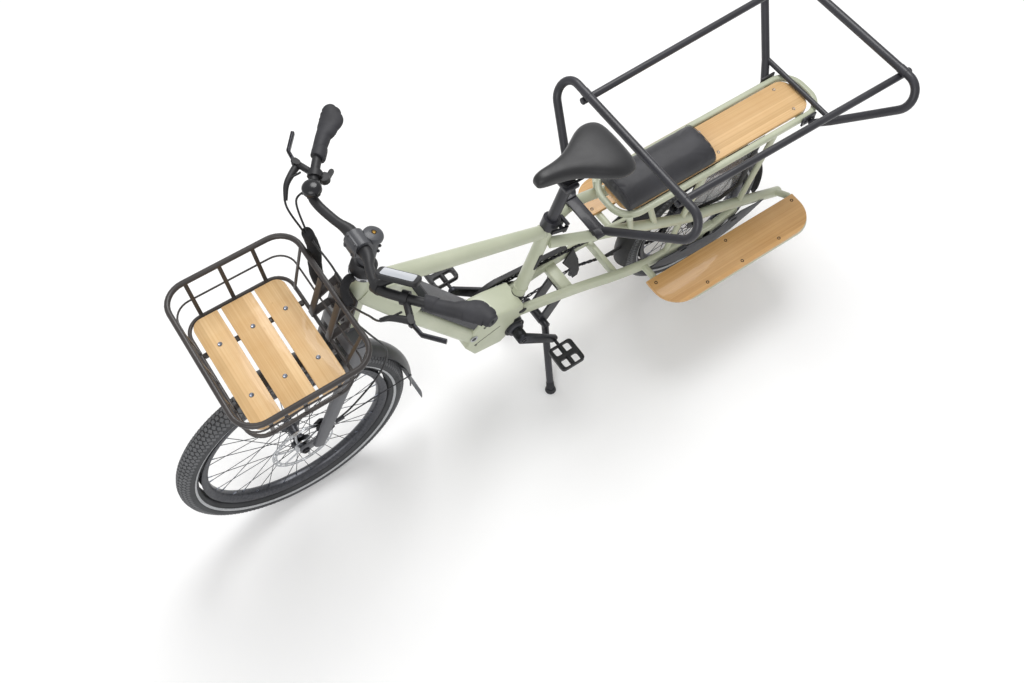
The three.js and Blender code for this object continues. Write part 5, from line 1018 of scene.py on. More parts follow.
def build_guards():
    for name, side in SIDES:
        bm = bmesh.new()
        outline = [(guard.rear + x * guard.long, guard.top - (1 - z) * guard.tall) for x, z in guard_shares]
        mx, mz = sum(p[0] for p in outline) / 6, sum(p[1] for p in outline) / 6
        hole = [(mx + (x - mx) * 0.8, mz + (z - mz) * 0.78) for x, z in outline]
        low, high = sorted((side * guard.inner, side * guard.outer))
        plate(bm, outline, low, high, "Y", 0.8, holes=[hole])
        low, high = sorted((side * guard.inner, side * guard.tab_out))
        for share in (0.1, 0.93):
            x = guard.rear + share * guard.long
            block(bm, at(x - 12, low, guard.tab[0]), at(x + 12, high, guard.tab[1]), 1)
        finish_piece(f"wheel_guard_{name}", bm, black_plastic, "bike", f"wheel_guard_{name}")
        bm = bmesh.new()
        pane = [(mx + (x - mx) * 0.84, mz + (z - mz) * 0.82) for x, z in outline]
        plate(bm, pane, side * 58 - 0.6, side * 58 + 0.6, "Y", 0.3)
        finish_piece(f"guard_pane_{name}", bm, smoked, "bike", ())
        bm = bmesh.new()
        outline = [(skirt.rear + x * skirt.long, skirt.low + z * skirt.tall) for x, z in skirt_shares]
        low, high = sorted((side * skirt.inner, side * skirt.outer))
        plate(bm, outline, low, high, "Y", 1)
        low, high = sorted((side * skirt.tab_in, side * skirt.outer))
        for share in (0.27, 0.72):
            x = skirt.rear + share * skirt.long
            block(bm, at(x - 14, low, skirt.tab[0]), at(x + 14, high, skirt.tab[1]), 2)
        finish_piece(f"skirt_{name}", bm, grey_plastic, "bike", f"skirt_{name}")


rear_shell = Sizes(reach=281, half=31, thick=2.4, dome=13, start=-6, end=186, steps=48, flap=30, flap_turn=24)
front_shell = Sizes(reach=358, half=34, thick=2.4, dome=16, start=75, end=186, steps=44, flap=8, flap_turn=-4)
crown_low = 424.7
fender_stay = Sizes(turn=177, reach=344, out=33, foot=(1254, 64, 407), wire=1.8)
flap = Sizes(turn=169, half=32, dome=9, thick=2.4, reaches=(-14, 4, 30, 60, 95, 125, 140, 146),
             widths=(0.85, 0.8, 0.62, 0.62, 0.75, 0.85, 0.75, 0.5))


def fender(bm, axle, shell):
    shares = [-1 + i / 6 for i in range(13)]
    section = [(s * shell.half, shell.dome * s * s) for s in shares]
    section += [(s * (shell.half - shell.thick), shell.thick + shell.dome * s * s) for s in reversed(shares)]
    sweep_turn = shell.end - shell.start
    turns = [math.radians(shell.start + sweep_turn * i / shell.steps) for i in range(shell.steps + 1)]
    path = [axle + at(shell.reach * math.cos(t), 0, shell.reach * math.sin(t)) for t in turns]
    away = math.radians(shell.end + shell.flap_turn)
    tip = path[-1] + at(-math.sin(away), 0, math.cos(away)) * shell.flap
    sweep(bm, path + [(path[-1] * 2 + tip) / 3, tip], section, across=LEFT)


def build_fenders():
    bm = bmesh.new()
    fender(bm, rear_axle, rear_shell)
    bar_between(bm, at(-3, 0, 534), at(-3, 0, 594.7), 5, 16)
    bar_between(bm, at(266, 0, 307), at(335.7, 0, 307), 5, 16)
    finish_piece("rear_fender", bm, black_plastic, "bike", "rear_fender")
    bm = bmesh.new()
    fender(bm, front_axle, front_shell)
    foot = on_head(crown_low)
    to_axle = (front_axle - foot).normalized()
    bar_between(bm, front_axle - to_axle * (front_shell.reach - 5), foot + to_axle * 5, 5, 16)
    before = set(bm.verts)
    block(bm, at(-23, -23, crown_low - 10), at(23, 23, crown_low), 3)
    in_head(bm, before)
    for side in (1, -1):
        t = math.radians(fender_stay.turn)
        edge = front_axle + at(fender_stay.reach * math.cos(t), side * fender_stay.out,
                               fender_stay.reach * math.sin(t))
        start = mirrored(fender_stay.foot, side)
        bar_between(bm, start, edge, fender_stay.wire, 8)
        bar_between(bm, start - AHEAD * 4, start + AHEAD * 22, 5.5, 16)
        bar_between(bm, edge + LEFT * side * 1.6, edge - LEFT * side * 2.4, 4, 14)
    finish_piece("front_fender", bm, fender_shell, "steering", "front_fender")
    bm = bmesh.new()
    end = math.radians(front_shell.end)
    root = front_axle + at(front_shell.reach * math.cos(end), 0, front_shell.reach * math.sin(end))
    away = math.radians(flap.turn)
    line = at(-math.sin(away), 0, math.cos(away))
    section = [(s * flap.half, flap.dome * s * s + 1) for s in [-1 + i / 4 for i in range(9)]]
    section += [(x, y + flap.thick) for x, y in reversed(section)]
    path = [root + line * reach for reach in flap.reaches]
    sweep(bm, path, section, across=LEFT, sizes=[(w, 1) for w in flap.widths])
    finish_piece("front_flap", bm, flap_rubber, "steering", ())


def build_tail_light():
    bm = bmesh.new()
    block(bm, at(-327, -50, 564), at(-316, 50, 593.7), 3)
    block(bm, at(-335, -15, 591.7), at(-276, 15, 594.7), 1)
    finish_piece("tail_light", bm, black_plastic, "bike", "tail_light")
    bm = bmesh.new()
    block(bm, at(-335, -47, 566), at(-325, 47, 591.5), 4)
    for i in range(-5, 6):
        block(bm, at(-336, i * 8 - 0.5, 569), at(-334, i * 8 + 0.5, 588.5))
    finish_piece("tail_lens", bm, lens_red, "bike", ())


stand = Sizes(pivot=at(577, 0, 203), foot_x=626, foot_out=158, leg_out=44, leg=11, shaft_half=55)


def build_stand():
    bm = bmesh.new()
    pivot = stand.pivot
    bar_between(bm, pivot - LEFT * stand.shaft_half, pivot + LEFT * stand.shaft_half, 8, 24)
    for side in (1, -1):
        foot = at(stand.foot_x, side * stand.foot_out, 7.5)
        bar_between(bm, pivot + LEFT * side * stand.leg_out, foot, stand.leg, 24)
        profile = [(0, 30.3), (12, 30.3), (12, 53), (10, 55), (0, 55)]
        spun(bm, [(r, side * out) for r, out in profile], pivot, steps=28)
    finish_piece("stand_legs", bm, black_coat, "stand", "stand_legs")
    bm = bmesh.new()
    for side in (1, -1):
        foot = at(stand.foot_x, side * stand.foot_out, 0)
        line = (pivot + LEFT * side * stand.leg_out - foot).normalized()
        spun(bm, [(0, 0), (16, 0), (17, 1.5), (16.4, 6), (14.4, 13), (12.8, 15), (0, 15)], foot, UP, 32)
        bar_between(bm, foot + at(0, 0, 7) + line * 6, foot + at(0, 0, 7) + line * 26, 13, 24, 12)
    finish_piece("stand_feet", bm, grip_rubber, "stand", ())
    keep_nodes(black_coat, "stand_bracket")


basket_top = Sizes(rear=1170, front=1501, half=206, height=890)
basket_foot = Sizes(rear=1218, front=1487, half=179, height=776)
basket_middle = 835
basket_arm = Sizes(out=40, wide=20, thick=5, ahead=30.5, low=520, high=600)
basket_plate = Sizes(back=27.3, front=34.3, half=50, low=500, top=612, bolts=(520, 592), bolt_out=22)
slats = Sizes(long=330, low=781.3, top=791.3, bolt_out=78, bolts=(1438, 1353, 1267))


def basket_loop(rear, front, half, height, corner):
    return [at(x, y, height) for x, y in long_outline(rear, front, half, corner, 8)]


def build_basket():
    high, low = basket_top, basket_foot
    bm = bmesh.new()
    tube(bm, basket_loop(high.rear, high.front, high.half, high.height, 58), 7, 20, closed=True)
    tube(bm, basket_loop(low.rear, low.front, low.half, low.height, 46), 5, 16, closed=True)
    share = (basket_middle - low.height) / (high.height - low.height)
    mid = [a + (b - a) * share for a, b in ((low.rear, high.rear), (low.front, high.front), (low.half, high.half))]
    tube(bm, basket_loop(*mid, basket_middle, 46), 2.4, 12, closed=True)
    strips = []
    for side in (1, -1):
        strips += [((x, side * 177), (x, side * 202), AHEAD) for x in (1268, 1353, 1438)]
        strips.append(((1222, side * 122), (1176, side * 139), LEFT))
    strips += [((1485, s * 174), (1497, s * 199), LEFT) for s in (-0.5, 0, 0.5)]
    for foot, top, along in strips:
        sweep(bm, [at(*foot, low.height), at(*top, high.height)], pill(10, 3.4, 1.2, 2), across=along)
    strap = pill(basket_arm.wide, basket_arm.thick, 1.5, 2)
    for side in (1, -1):
        y = side * basket_arm.out
        foot, top = at(1223, y, low.height), at(1177, y, high.height)
        sweep(bm, [foot, top], strap, across=LEFT)
        sweep(bm, [on_head(basket_arm.low, basket_arm.ahead, y), foot], strap, across=LEFT)
        sweep(bm, [on_head(basket_arm.high, basket_arm.ahead, y), foot.lerp(top, share)], strap, across=LEFT)
        out = side * slats.bolt_out
        block(bm, at(1223, out - 6, 771.5), at(1482, out + 6, 781), 1.5)
    before = set(bm.verts)
    block(bm, at(basket_plate.back, -basket_plate.half, basket_plate.low),
          at(basket_plate.front, basket_plate.half, basket_plate.top), 3)
    in_head(bm, before)
    for up in basket_plate.bolts:
        for side in (1, -1):
            bolt(bm, on_head(up, 34, side * basket_plate.bolt_out), head_ahead, 5.5, 3)
    finish_piece("basket_frame", bm, basket_coat, "bike", "basket_frame")
    for name, x, wide, rounded_end in (("front", 1437.5, 71, 1), ("middle", 1353, 79, 0), ("rear", 1269.5, 71, -1)):
        bm = bmesh.new()
        outline = pill(wide, slats.long, 26 if rounded_end else 2, 6)
        if rounded_end:
            square = -rounded_end * wide / 2
            outline = [(px, py) if px * rounded_end > 0 else (square, math.copysign(slats.long / 2, py))
                       for px, py in outline]
            outline = [p for i, p in enumerate(outline) if math.dist(p, outline[i - 1]) > 0.1]
        plate(bm, [(px + x, py) for px, py in outline], slats.low, slats.top, "Z", 1.6)
        finish_piece(f"basket_slat_{name}", bm, slat_wood, "bike", f"basket_slat_{name}", sharp=30)
    bm = bmesh.new()
    for x in slats.bolts:
        for side in (1, -1):
            bolt(bm, at(x, side * slats.bolt_out, slats.top - 0.6), UP, 6.2, 2.2)
    finish_piece("basket_bolts", bm, zinc, "bike", ())


blades = Sizes(places=((-5, 60, 455), (-4.5, 61.5, 430), (0, 62, 300), (9, 62, 170), (20, 62, 35)),
               widths=(24, 22.5, 21, 19, 16), shares=(0.62, 0.6, 0.57, 0.56, 0.58))
crown = Sizes(wide=46, long=146, low=425, top=466, collar=475)
axle_cap = ((0, 58.3), (11, 58.3), (11, 62), (9, 64), (6, 64), (5, 61.5), (0, 61.5))
caliper = Sizes(turn=148, reach=84)


def build_fork():
    bm = bmesh.new()
    before = set(bm.verts)
    plate(bm, pill(crown.wide, crown.long, 20, 6), crown.low, crown.top, "Z", 6, segments=4)
    for side in (1, -1):
        knots = [mirrored(place, side) for place in blades.places]
        sizes = [(w, w * s) for w, s in zip(blades.widths, blades.shares)]
        sweep(bm, knots, pill(2, 2, 0.72, 6), across=AHEAD, sizes=sizes)
        low, high = sorted((side * 50.3, side * 58.3))
        plate(bm, two_wheels(20, 46, 13, 55.06, 20.47, 15, 10), low, high, "Y", 1.4)
    in_head(bm, before)
    bar_between(bm, on_head(crown.top), on_head(crown.collar), 27, 40, 25)
    finish_piece("fork", bm, fork_coat, "steering", "fork")
    bm = bmesh.new()
    bar_between(bm, on_head(430), on_head(772), 15, 32)
    bar_between(bm, on_head(crown.collar), on_head(477.6), 24, 40)
    bar_between(bm, front_axle - LEFT * 64, front_axle + LEFT * 60, 6, 20)
    for side in (1, -1):
        spun(bm, [(r, side * out) for r, out in axle_cap], front_axle, steps=28)
    finish_piece("fork_hardware", bm, dark_steel, "steering", ())
    bm = bmesh.new()
    turn = math.radians(caliper.turn)
    spot = front_axle + at(caliper.reach * math.cos(turn), 0, caliper.reach * math.sin(turn))
    lean = Matrix.Rotation(-turn + TURN / 4, 4, "Y")
    before = set(bm.verts)
    block(bm, at(-27, 30, -14), at(27, 39.6, 14), 4)
    block(bm, at(-27, 44.4, -14), at(27, 57, 14), 4)
    block(bm, at(-22, 31, 9), at(22, 56, 17), 4)
    bmesh.ops.transform(bm, matrix=Matrix.Translation(spot) @ lean, verts=fresh_since(bm, before))
    bar_between(bm, spot + at(0, 46, 0), spot + at(-12, 60, 40), 6, 16)
    finish_piece("front_caliper", bm, black_plastic, "steering", ())


stem_profile = ((15.4, 648.3), (30, 648.3), (31, 649.5), (31, 655), (28, 658), (21, 659.5), (20, 661), (20, 762),
                (24, 766), (24.5, 773), (22, 778), (14, 781.4), (7, 782), (6, 779.6), (0, 779.6))
clamp_profile = ((16.2, -23), (23, -23), (24, -22), (24, 22), (23, 23), (16.2, 23))
cover_profile = ((20.2, 660), (31, 660), (32, 661.5), (31, 684), (27, 690), (20.2, 691))
ring_profile = ((29, 651), (32.6, 651.6), (32.6, 656), (31.6, 657), (29, 657))
face_bolts = Sizes(ups=(743, 773), ahead=56.4, out=15)
pinch_bolts = Sizes(ups=(735, 752), ahead=-12, out=16.6)


def build_stem():
    bm = bmesh.new()
    spun(bm, stem_profile, steer_foot, head_axis, 48)
    spun(bm, clamp_profile, bar_centre, LEFT, 48, closed=True)
    sweep(bm, [on_head(753, 2), on_head(757, 20)], pill(38, 34, 12, 5), across=LEFT)
    before = set(bm.verts)
    block(bm, at(49, -23, 738), at(57, 23, 778), 3)
    in_head(bm, before)
    for up in face_bolts.ups:
        for side in (1, -1):
            bolt(bm, on_head(up, face_bolts.ahead, side * face_bolts.out), head_ahead, 4, 2)
    for up in pinch_bolts.ups:
        for side in (1, -1):
            bolt(bm, on_head(up, pinch_bolts.ahead, side * pinch_bolts.out), LEFT * side, 4, 3.4)
    finish_piece("stem", bm, stem_alloy, "steering", "stem")
    bm = bmesh.new()
    bolt(bm, on_head(779.4), head_axis, 5, 2.2)
    finish_piece("stem_screw", bm, brass, "steering", ())
    bm = bmesh.new()
    spun(bm, cover_profile, steer_foot, head_axis, 40, closed=True)
    finish_piece("head_cover", bm, black_plastic, "steering", ())
    bm = bmesh.new()
    spun(bm, ring_profile, steer_foot, head_axis, 8, closed=True)
    finish_piece("head_ring", bm, light_ring, "steering", ())


bar_shares = ((-1, 1, 0.91), (-0.613, 0.83, 0.955), (-0.226, 0.66, 1), (0.177, 0.459, 0.82), (0.226, 0.376, 0.61),
              (0.121, 0.228, 0.27), (0, 0.118, 0))
grip = Sizes(inner=5, outer=4, radius=16.4, swing=0.9, steps=72, ribs=range(14, 44, 2), rib_depth=0.5)
grip_form = ((0, 17.2, 17.2), (0.02, 18, 18), (0.15, 18, 18), (0.17, 16.4, 16.4), (0.4, 18, 16.4), (0.58, 24, 15.4),
             (0.75, 28.5, 14.4), (0.88, 24, 14.6), (0.97, 17, 14.6), (1, 14, 12.5))


def bar_side(side):
    return [bar_centre + at(x * bar.ahead, side * y * bar.half, z * bar.rise) for x, y, z in bar_shares]


# Width and height at a share of the way, from a form of (share, width, height)
def size_along(form, share, soft=False):
    for (a, wide, tall), (b, wider, taller) in zip(form, form[1:]):
        if share <= b:
            t = (share - a) / (b - a)
            t = t * t * (3 - 2 * t) if soft else t
            return wide + (wider - wide) * t, tall + (taller - tall) * t


def build_handlebar():
    bm = bmesh.new()
    path = eased(bar_side(1) + [bar_centre] + bar_side(-1)[::-1], 5)
    grow = bar.clamp / bar.radius
    shares = [min(max((abs(p.y) - 38) / 26, 0), 1) for p in path]
    sweep(bm, path, circle(bar.radius, 24), sizes=[(grow + (1 - grow) * share,) * 2 for share in shares])
    finish_piece("handlebar", bm, black_plastic, "steering", "handlebar")
    for name, side in SIDES:
        outer, _, inner = bar_side(side)[:3]
        line = (outer - inner).normalized()
        start = inner + line * grip.inner
        length = (outer + line * grip.outer - start).length
        bm = bmesh.new()
        back = UP.cross(line) * side
        sizes = [size_along(grip_form, i / grip.steps, soft=True) for i in range(grip.steps + 1)]
        spine = [start + line * (length * i / grip.steps) + back * (wide - grip.radius) * grip.swing
                 for i, (wide, _) in enumerate(sizes)]
        for i in grip.ribs:
            sizes[i] = tuple(size - grip.rib_depth for size in sizes[i])
        sweep(bm, spine, circle(1, 36), across=back, sizes=sizes)
        bolt(bm, spine[-1], line, 5, 1.6)
        finish_piece(f"grip_{name}", bm, grip_rubber, "steering", f"grip_{name}")


def along_bar(out, side):
    places = [bar_centre] + bar_side(side)[::-1]
    for a, b in zip(places, places[1:]):
        if abs(b.y) >= out:
            share = (out - abs(a.y)) / (abs(b.y) - abs(a.y))
            return a.lerp(b, share), (b - a).normalized()


bell = Sizes(out=150, above=44)
bell_profile = ((0, 0), (20, 0), (22, 1.2), (22.5, 4), (22, 7.5), (20, 11), (16.5, 14), (12, 16.2), (6, 17.6),
                (0, 18))
display = Sizes(back=-12, out=158, above=62, arm_out=132, turn=130, lean=-35)


def bar_clamp(bm, place, line, half):
    profile = [(11.4, -half), (15.4, -half), (16, 1 - half), (16, half - 1), (15.4, half), (11.4, half)]
    spun(bm, profile, place, line, 32, closed=True)


def build_bell_and_display():
    place, line = along_bar(bell.out, -1)
    base = at(place.x, place.y, bar_centre.z + bell.above)
    bm = bmesh.new()
    spun(bm, bell_profile, base, UP, 48)
    finish_piece("bell", bm, gloss_black, "steering", "bell")
    bm = bmesh.new()
    bar_clamp(bm, place, line, 5)
    bar_between(bm, place + UP * 12, base + UP, 5, 20)
    spun(bm, [(20, -2.4), (22.4, -2), (22.4, 0.6), (20, 1)], base, UP, 40, closed=True)
    display_spot = bar_centre + at(display.back, display.out, display.above)
    near, near_line = along_bar(display.arm_out, 1)
    bar_clamp(bm, near, near_line, 10)
    bar_between(bm, near + UP * 8, display_spot - UP * 2, 8, 20)
    finish_piece("bar_clamps", bm, black_plastic, "steering", ())
    turned = Matrix.Rotation(math.radians(display.turn), 4, "Z") @ Matrix.Rotation(math.radians(display.lean), 4, "X")
    turned = Matrix.Translation(display_spot) @ turned
    # The screen's light grey glass colour is a painted reflection of the glare on the display
    for name, length, width, low, high, corner, edge, finish, replaced in (
            ("display", 95, 47, -6, 5.2, 12, 2.6, black_plastic, "display"),
            ("display_screen", 74, 35, 5, 6, 5, 0.3, screen, ())):
        bm = bmesh.new()
        plate(bm, pill(length, width, corner, 6), low, high, "Z", edge, segments=3)
        bmesh.ops.transform(bm, matrix=turned, verts=list(bm.verts))
        finish_piece(name, bm, finish, "steering", replaced)
    keep_nodes(black_plastic, "brake_mount_left", "brake_mount_right", "shift_paddle")
    keep_nodes(dark_steel, "brake_blade_left", "brake_blade_right")


# Cable routes as shares of the bar's sizes from its middle, and the boots where they leave the levers
loom_paths = {
    "sleeve": ((0.532, -0.533, -0.508), (0.5, -0.518, -1.03), (0.59, -0.478, -1.434), (0.645, -0.385, -1.797),
               (0.443, -0.243, -1.862), (0.403, -0.081, -1.757)),
    "front_sleeve": ((0.567, 0.223, -0.992), (0.558, 0.146, -0.895), (0.513, 0.105, -0.767), (0.384, 0.049, -0.762),
                     (0.26, 0.01, -0.88)),
    "gear": ((-0.028, -0.733, 0.1), (0.2, -0.745, 0.04), (0.46, -0.72, -0.05), (0.532, -0.56, -0.45),
             (0.532, -0.5, -0.6)),
    "brake_right": ((0.14, -0.878, 0.227), (0.45, -0.86, 0.2), (0.66, -0.72, 0), (0.6, -0.57, -0.42),
                    (0.55, -0.51, -0.6)),
    "brake_left": ((0.14, 0.875, 0.226), (0.5, 0.82, 0.12), (0.54, 0.6, -0.3), (0.57, 0.35, -0.75),
                   (0.57, 0.2, -0.98), (0.52, 0.1, -0.78), (0.5, -0.1, -0.62), (0.52, -0.35, -0.6),
                   (0.52, -0.5, -0.62)),
}
loom_reach = (124, 247, 124)
hose = Sizes(radius=2.5, sides=14)
sleeve_form = ((0, 14, 12), (0.03, 18.5, 14), (0.3, 22.5, 15), (0.5, 22.5, 15), (0.6, 18, 13), (0.68, 8, 7),
               (1, 6.5, 6.5))
front_sleeve_form = ((0, 10.5, 10.5), (1, 10.5, 10.5))
boots = (
    (9, ((1096, 244, 1036), (1112, 226, 1035), (1130, 209, 1031), (1148, 200, 1027))),
    (9, ((1098, -242, 1036), (1122, -226, 1037), (1145, -208, 1034), (1163, -184, 1018))),
    (5, ((1084, -181, 1024.5), (1098, -182.5, 1021), (1110, -184, 1018), (1124, -182, 1014))),
)
hose_start = ((500, -6, 42), (470, -34, 52))
hose_places = ((1096, 63, 628), (1108, 67, 570), (1138, 67, 518), (1184, 65, 468), (1238, 62, 420), (1284, 55, 392))


def on_loom(share):
    return bar_centre + at(*(v * s for v, s in zip(share, loom_reach)))


# A fabric sleeve, with small creases along it
def sleeve(bm, path, form, across):
    last = len(path) - 1
    sizes = [size_along(form, i / last) for i in range(last + 1)]
    sizes = [(wide + 0.35 * math.sin(i * 2.4), tall + 0.35 * math.sin(i * 1.7))
             for i, (wide, tall) in enumerate(sizes)]
    for face in sweep(bm, path, circle(1, 28), across=across, sizes=sizes):
        face.material_index = 1


def build_cables():
    bm = bmesh.new()
    for name, knots in loom_paths.items():
        path = eased([on_loom(knot) for knot in knots], 8)
        if name == "sleeve":
            sleeve(bm, path, sleeve_form, LEFT)
        elif name == "front_sleeve":
            sleeve(bm, path, front_sleeve_form, AHEAD)
        else:
            tube(bm, path, hose.radius, hose.sides)
    piece = finish_piece("cable_loom", bm, [cable_skin, sleeve_cloth], None, "cable_loom")
    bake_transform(piece)


def build_brake_hose():
    bm = bmesh.new()
    for wide, knots in boots:
        path = eased([at(*knot) for knot in knots], 5)
        sizes = [(wide * (1 - 0.5 * (i / (len(path) - 1)) ** 1.6),) * 2 for i in range(len(path))]
        sweep(bm, path, circle(1, 20), sizes=sizes)
    finish_piece("hose_boots", bm, black_plastic, "steering", ())
    bm = bmesh.new()
    route = [on_head(*place) for place in hose_start] + [at(*place) for place in hose_places]
    tube(bm, eased(route, 6), hose.radius, hose.sides)
    finish_piece("brake_hose", bm, cable_skin, "steering", ())


saddle = Sizes(rear=345, long=265, low=827, rise=35, half=97, tall=46)
saddle_shares = ((0, 0.55, 0.4), (0.02, 0.8, 0.75), (0.08, 0.95, 0.95), (0.2, 1, 1), (0.33, 0.87, 0.97),
                 (0.46, 0.6, 0.9), (0.6, 0.38, 0.85), (0.75, 0.27, 0.82), (0.89, 0.23, 0.78), (0.97, 0.18, 0.6),
                 (1, 0.1, 0.3))
saddle_section = ((0.8, 0), (0.97, 0.14), (1, 0.34), (0.97, 0.6), (0.84, 0.82), (0.55, 0.95), (0.2, 0.99))
rail_knots = ((395, 848), (420, 824), (440, 818), (510, 818), (530, 824))


def build_saddle():
    bm = bmesh.new()
    section = list(saddle_section) + [(-x, z) for x, z in reversed(saddle_section)]
    crosswise = Matrix(((0, 0, 1), (1, 0, 0), (0, 1, 0))).to_4x4()
    rings = []
    for s, wide, tall in saddle_shares:
        place = Matrix.Translation(at(saddle.rear + s * saddle.long, 0, saddle.low + saddle.rise * s)) @ crosswise
        rings.append([bm.verts.new(place @ Vector((x * saddle.half * wide, z * saddle.tall * tall, 0)))
                      for x, z in section])
    bridged(bm, [closed_edges(bm, ring) for ring in rings])
    piece = finish_piece("saddle", bm, saddle_skin, "saddle_and_post", "saddle", sharp=180)
    surface = piece.modifiers.new("smooth_skin", "SUBSURF")
    surface.levels = surface.render_levels = 2
    bm = bmesh.new()
    for side in (1, -1):
        y = side * 20
        knots = [at(x, y, z) for x, z in rail_knots] + [at(560, y / 2, 866)]
        tube(bm, eased(knots, 6), 3.5, 14)
    finish_piece("saddle_rails", bm, dark_steel, "saddle_and_post", ())
    bm = bmesh.new()
    block(bm, at(352, -16, 822), at(358, 16, 846), 2.5)
    finish_piece("saddle_reflector", bm, lens_red, "saddle_and_post", ())


post = Sizes(low=470, high=800, radius=15.8, head=790, clamp_back=16, clamp_long=44, clamp_half=30)
marks = Sizes(count=12, first=690, step=6, long=6, short=3.5, out=15.7)


def build_seat_post():
    bm = bmesh.new()
    axis = (on_seat(post.head) - on_seat(post.low)).normalized()
    bar_between(bm, on_seat(post.low), on_seat(post.high), post.radius, 36)
    rear = on_seat(post.head).x - post.clamp_back
    block(bm, at(rear, -post.clamp_half, 801), at(rear + post.clamp_long, post.clamp_half, 814), 4)
    for side in (1, -1):
        bolt(bm, at(rear + post.clamp_long / 2, side * post.clamp_half, 807.5), LEFT * side, 5, 1)
    finish_piece("seat_post", bm, black_coat, "saddle_and_post", "seat_post")
    bm = bmesh.new()
    outward = axis.cross(LEFT).normalized() * -marks.out
    for i in range(marks.count):
        wide = marks.long if i % 5 == 0 else marks.short
        before = set(bm.verts)
        block(bm, at(-0.4, -wide, -0.35), at(0.3, wide, 0.35))
        spot = on_seat(marks.first + i * marks.step) - outward
        bmesh.ops.transform(bm, matrix=Matrix.Translation(spot), verts=fresh_since(bm, before))
    finish_piece("post_marks", bm, stripe, "saddle_and_post", ())
    keep_nodes(black_coat, "seat_collar")
    keep_nodes(dark_steel, "collar_lever")


# The chain's wheels: x, z, radius to the rollers, and which way the chain turns round each
idler = at(402, 0, 215)
belt_wheels = ((bracket.x, bracket.z, 87.8, 1), (0, 258, 38.8, 1), (14, 182, 20.8, -1), (48, 122, 20.8, 1),
               (idler.x, idler.z, 24.8, -1))


def belt_path():
    count = len(belt_wheels)
    signed = [turn * radius for _, _, radius, turn in belt_wheels]
    leave = []
    for i, (ax, az, _, _) in enumerate(belt_wheels):
        bx, bz, _, _ = belt_wheels[(i + 1) % count]
        lean = math.acos((signed[i] - signed[(i + 1) % count]) / math.hypot(bx - ax, bz - az))
        leave.append(math.atan2(bz - az, bx - ax) - lean)
    path = []
    for i, (x, z, _, turn) in enumerate(belt_wheels):
        span = math.fmod(leave[i] - leave[i - 1], TURN)
        if turn > 0 and span < 0:
            span += TURN
        if turn < 0 and span > 0:
            span -= TURN
        path += arc(x, z, signed[i], leave[i - 1], leave[i - 1] + span, max(4, round(abs(span) * 14)))
    return path


link = Sizes(half=3.9, inner=((-2.2, -1.2), (1.2, 2.2)), outer=((-3.3, -2.3), (2.3, 3.3)), pin=2.4, pin_half=3.4)


def build_chain():
    path = belt_path()
    ring = list(zip(path, path[1:] + path[:1]))
    total = sum(math.dist(a, b) for a, b in ring)
    count = 2 * round(total / pitch / 2)
    step = total / count
    pins, travelled, wanted = [], 0.0, 0.0
    for a, b in ring:
        long = math.dist(a, b)
        while wanted <= travelled + long and len(pins) < count:
            share = (wanted - travelled) / long if long else 0
            pins.append((a[0] + (b[0] - a[0]) * share, a[1] + (b[1] - a[1]) * share))
            wanted += step
        travelled += long
    bm = bmesh.new()
    for i, (a, b) in enumerate(zip(pins, pins[1:] + pins[:1])):
        outline = two_wheels(*a, link.half, *b, link.half - 0.001, 3)
        for low, high in link.inner if i % 2 else link.outer:
            plate(bm, outline, -chain_line + low, -chain_line + high, "Y")
        spot = at(a[0], -chain_line, a[1])
        bar_between(bm, spot - LEFT * link.pin_half, spot + LEFT * link.pin_half, link.pin, 8)
    finish_piece("chain", bm, dark_steel, "bike", "chain", sharp=30)
    keep_nodes(black_plastic, "chain_guide", "chain_guard", "derailleur")
    bm = bmesh.new()
    plate(bm, gear(idler.x, idler.z, 18.4, 20, 11), -55.5, -50.5, "Y", 0.4)
    spun(bm, [(0, -56.3), (8, -56.3), (8, -55.4), (0, -55.4)], idler, LEFT, 24)
    finish_piece("chain_idler", bm, grey_plastic, "idler", "chain_idler")


crank = Sizes(turn=-134, length=165, inner=84, outer=99, boss=18, eye=13)
ring = Sizes(root=79, tip=83, hole=58, low=-54.5, high=-51.5, arms=4, arm_reach=66, arm_low=-60, arm_high=-54.6)
pedal = Sizes(inner=118, size=82, half=8, pin_reach=35, pin_outs=(-34, -20, 20, 34), slot_out=21.5, reflector=38.6)
crank_turn = math.radians(crank.turn)
crank_reach = at(math.cos(crank_turn), 0, math.sin(crank_turn)) * crank.length


def crank_arm(bm, side):
    end = crank_axle + crank_reach * side
    low, high = sorted((side * crank.inner, side * crank.outer))
    outline = two_wheels(bracket.x, bracket.z, crank.boss, end.x, end.z, crank.eye, 12)
    plate(bm, outline, low, high, "Y", 4, segments=3)


def build_cranks():
    bm = bmesh.new()
    teeth = round(TURN * ring.tip / pitch)
    hole = arc(bracket.x, bracket.z, ring.hole, TURN, TURN / 40, 39)
    plate(bm, gear(bracket.x, bracket.z, ring.root, ring.tip, teeth), ring.low, ring.high, "Y", 0.4, holes=[hole])
    for i in range(ring.arms):
        turn = crank_turn + TURN / 8 + TURN * i / ring.arms
        outer = crank_axle + at(math.cos(turn), 0, math.sin(turn)) * ring.arm_reach
        arm = two_wheels(bracket.x, bracket.z, 20, outer.x, outer.z, 9, 8)
        plate(bm, arm, ring.arm_low, ring.arm_high, "Y", 1.5)
        bolt(bm, outer + LEFT * ring.arm_low, -LEFT, 4.5, 1.6)
    bar_between(bm, crank_axle - LEFT * 98, crank_axle - LEFT * 54, 18, 32)
    bar_between(bm, crank_axle - LEFT * 98, crank_axle + LEFT * 95, 10, 24)
    crank_arm(bm, -1)
    finish_piece("crankset", bm, forged, "crank", "crankset")
    bm = bmesh.new()
    crank_arm(bm, 1)
    bar_between(bm, crank_axle + LEFT * 62, crank_axle + LEFT * 86, 18, 32)
    finish_piece("crank_left", bm, forged, "crank", "crank_left")
    for name, side in SIDES:
        build_pedal(name, side)


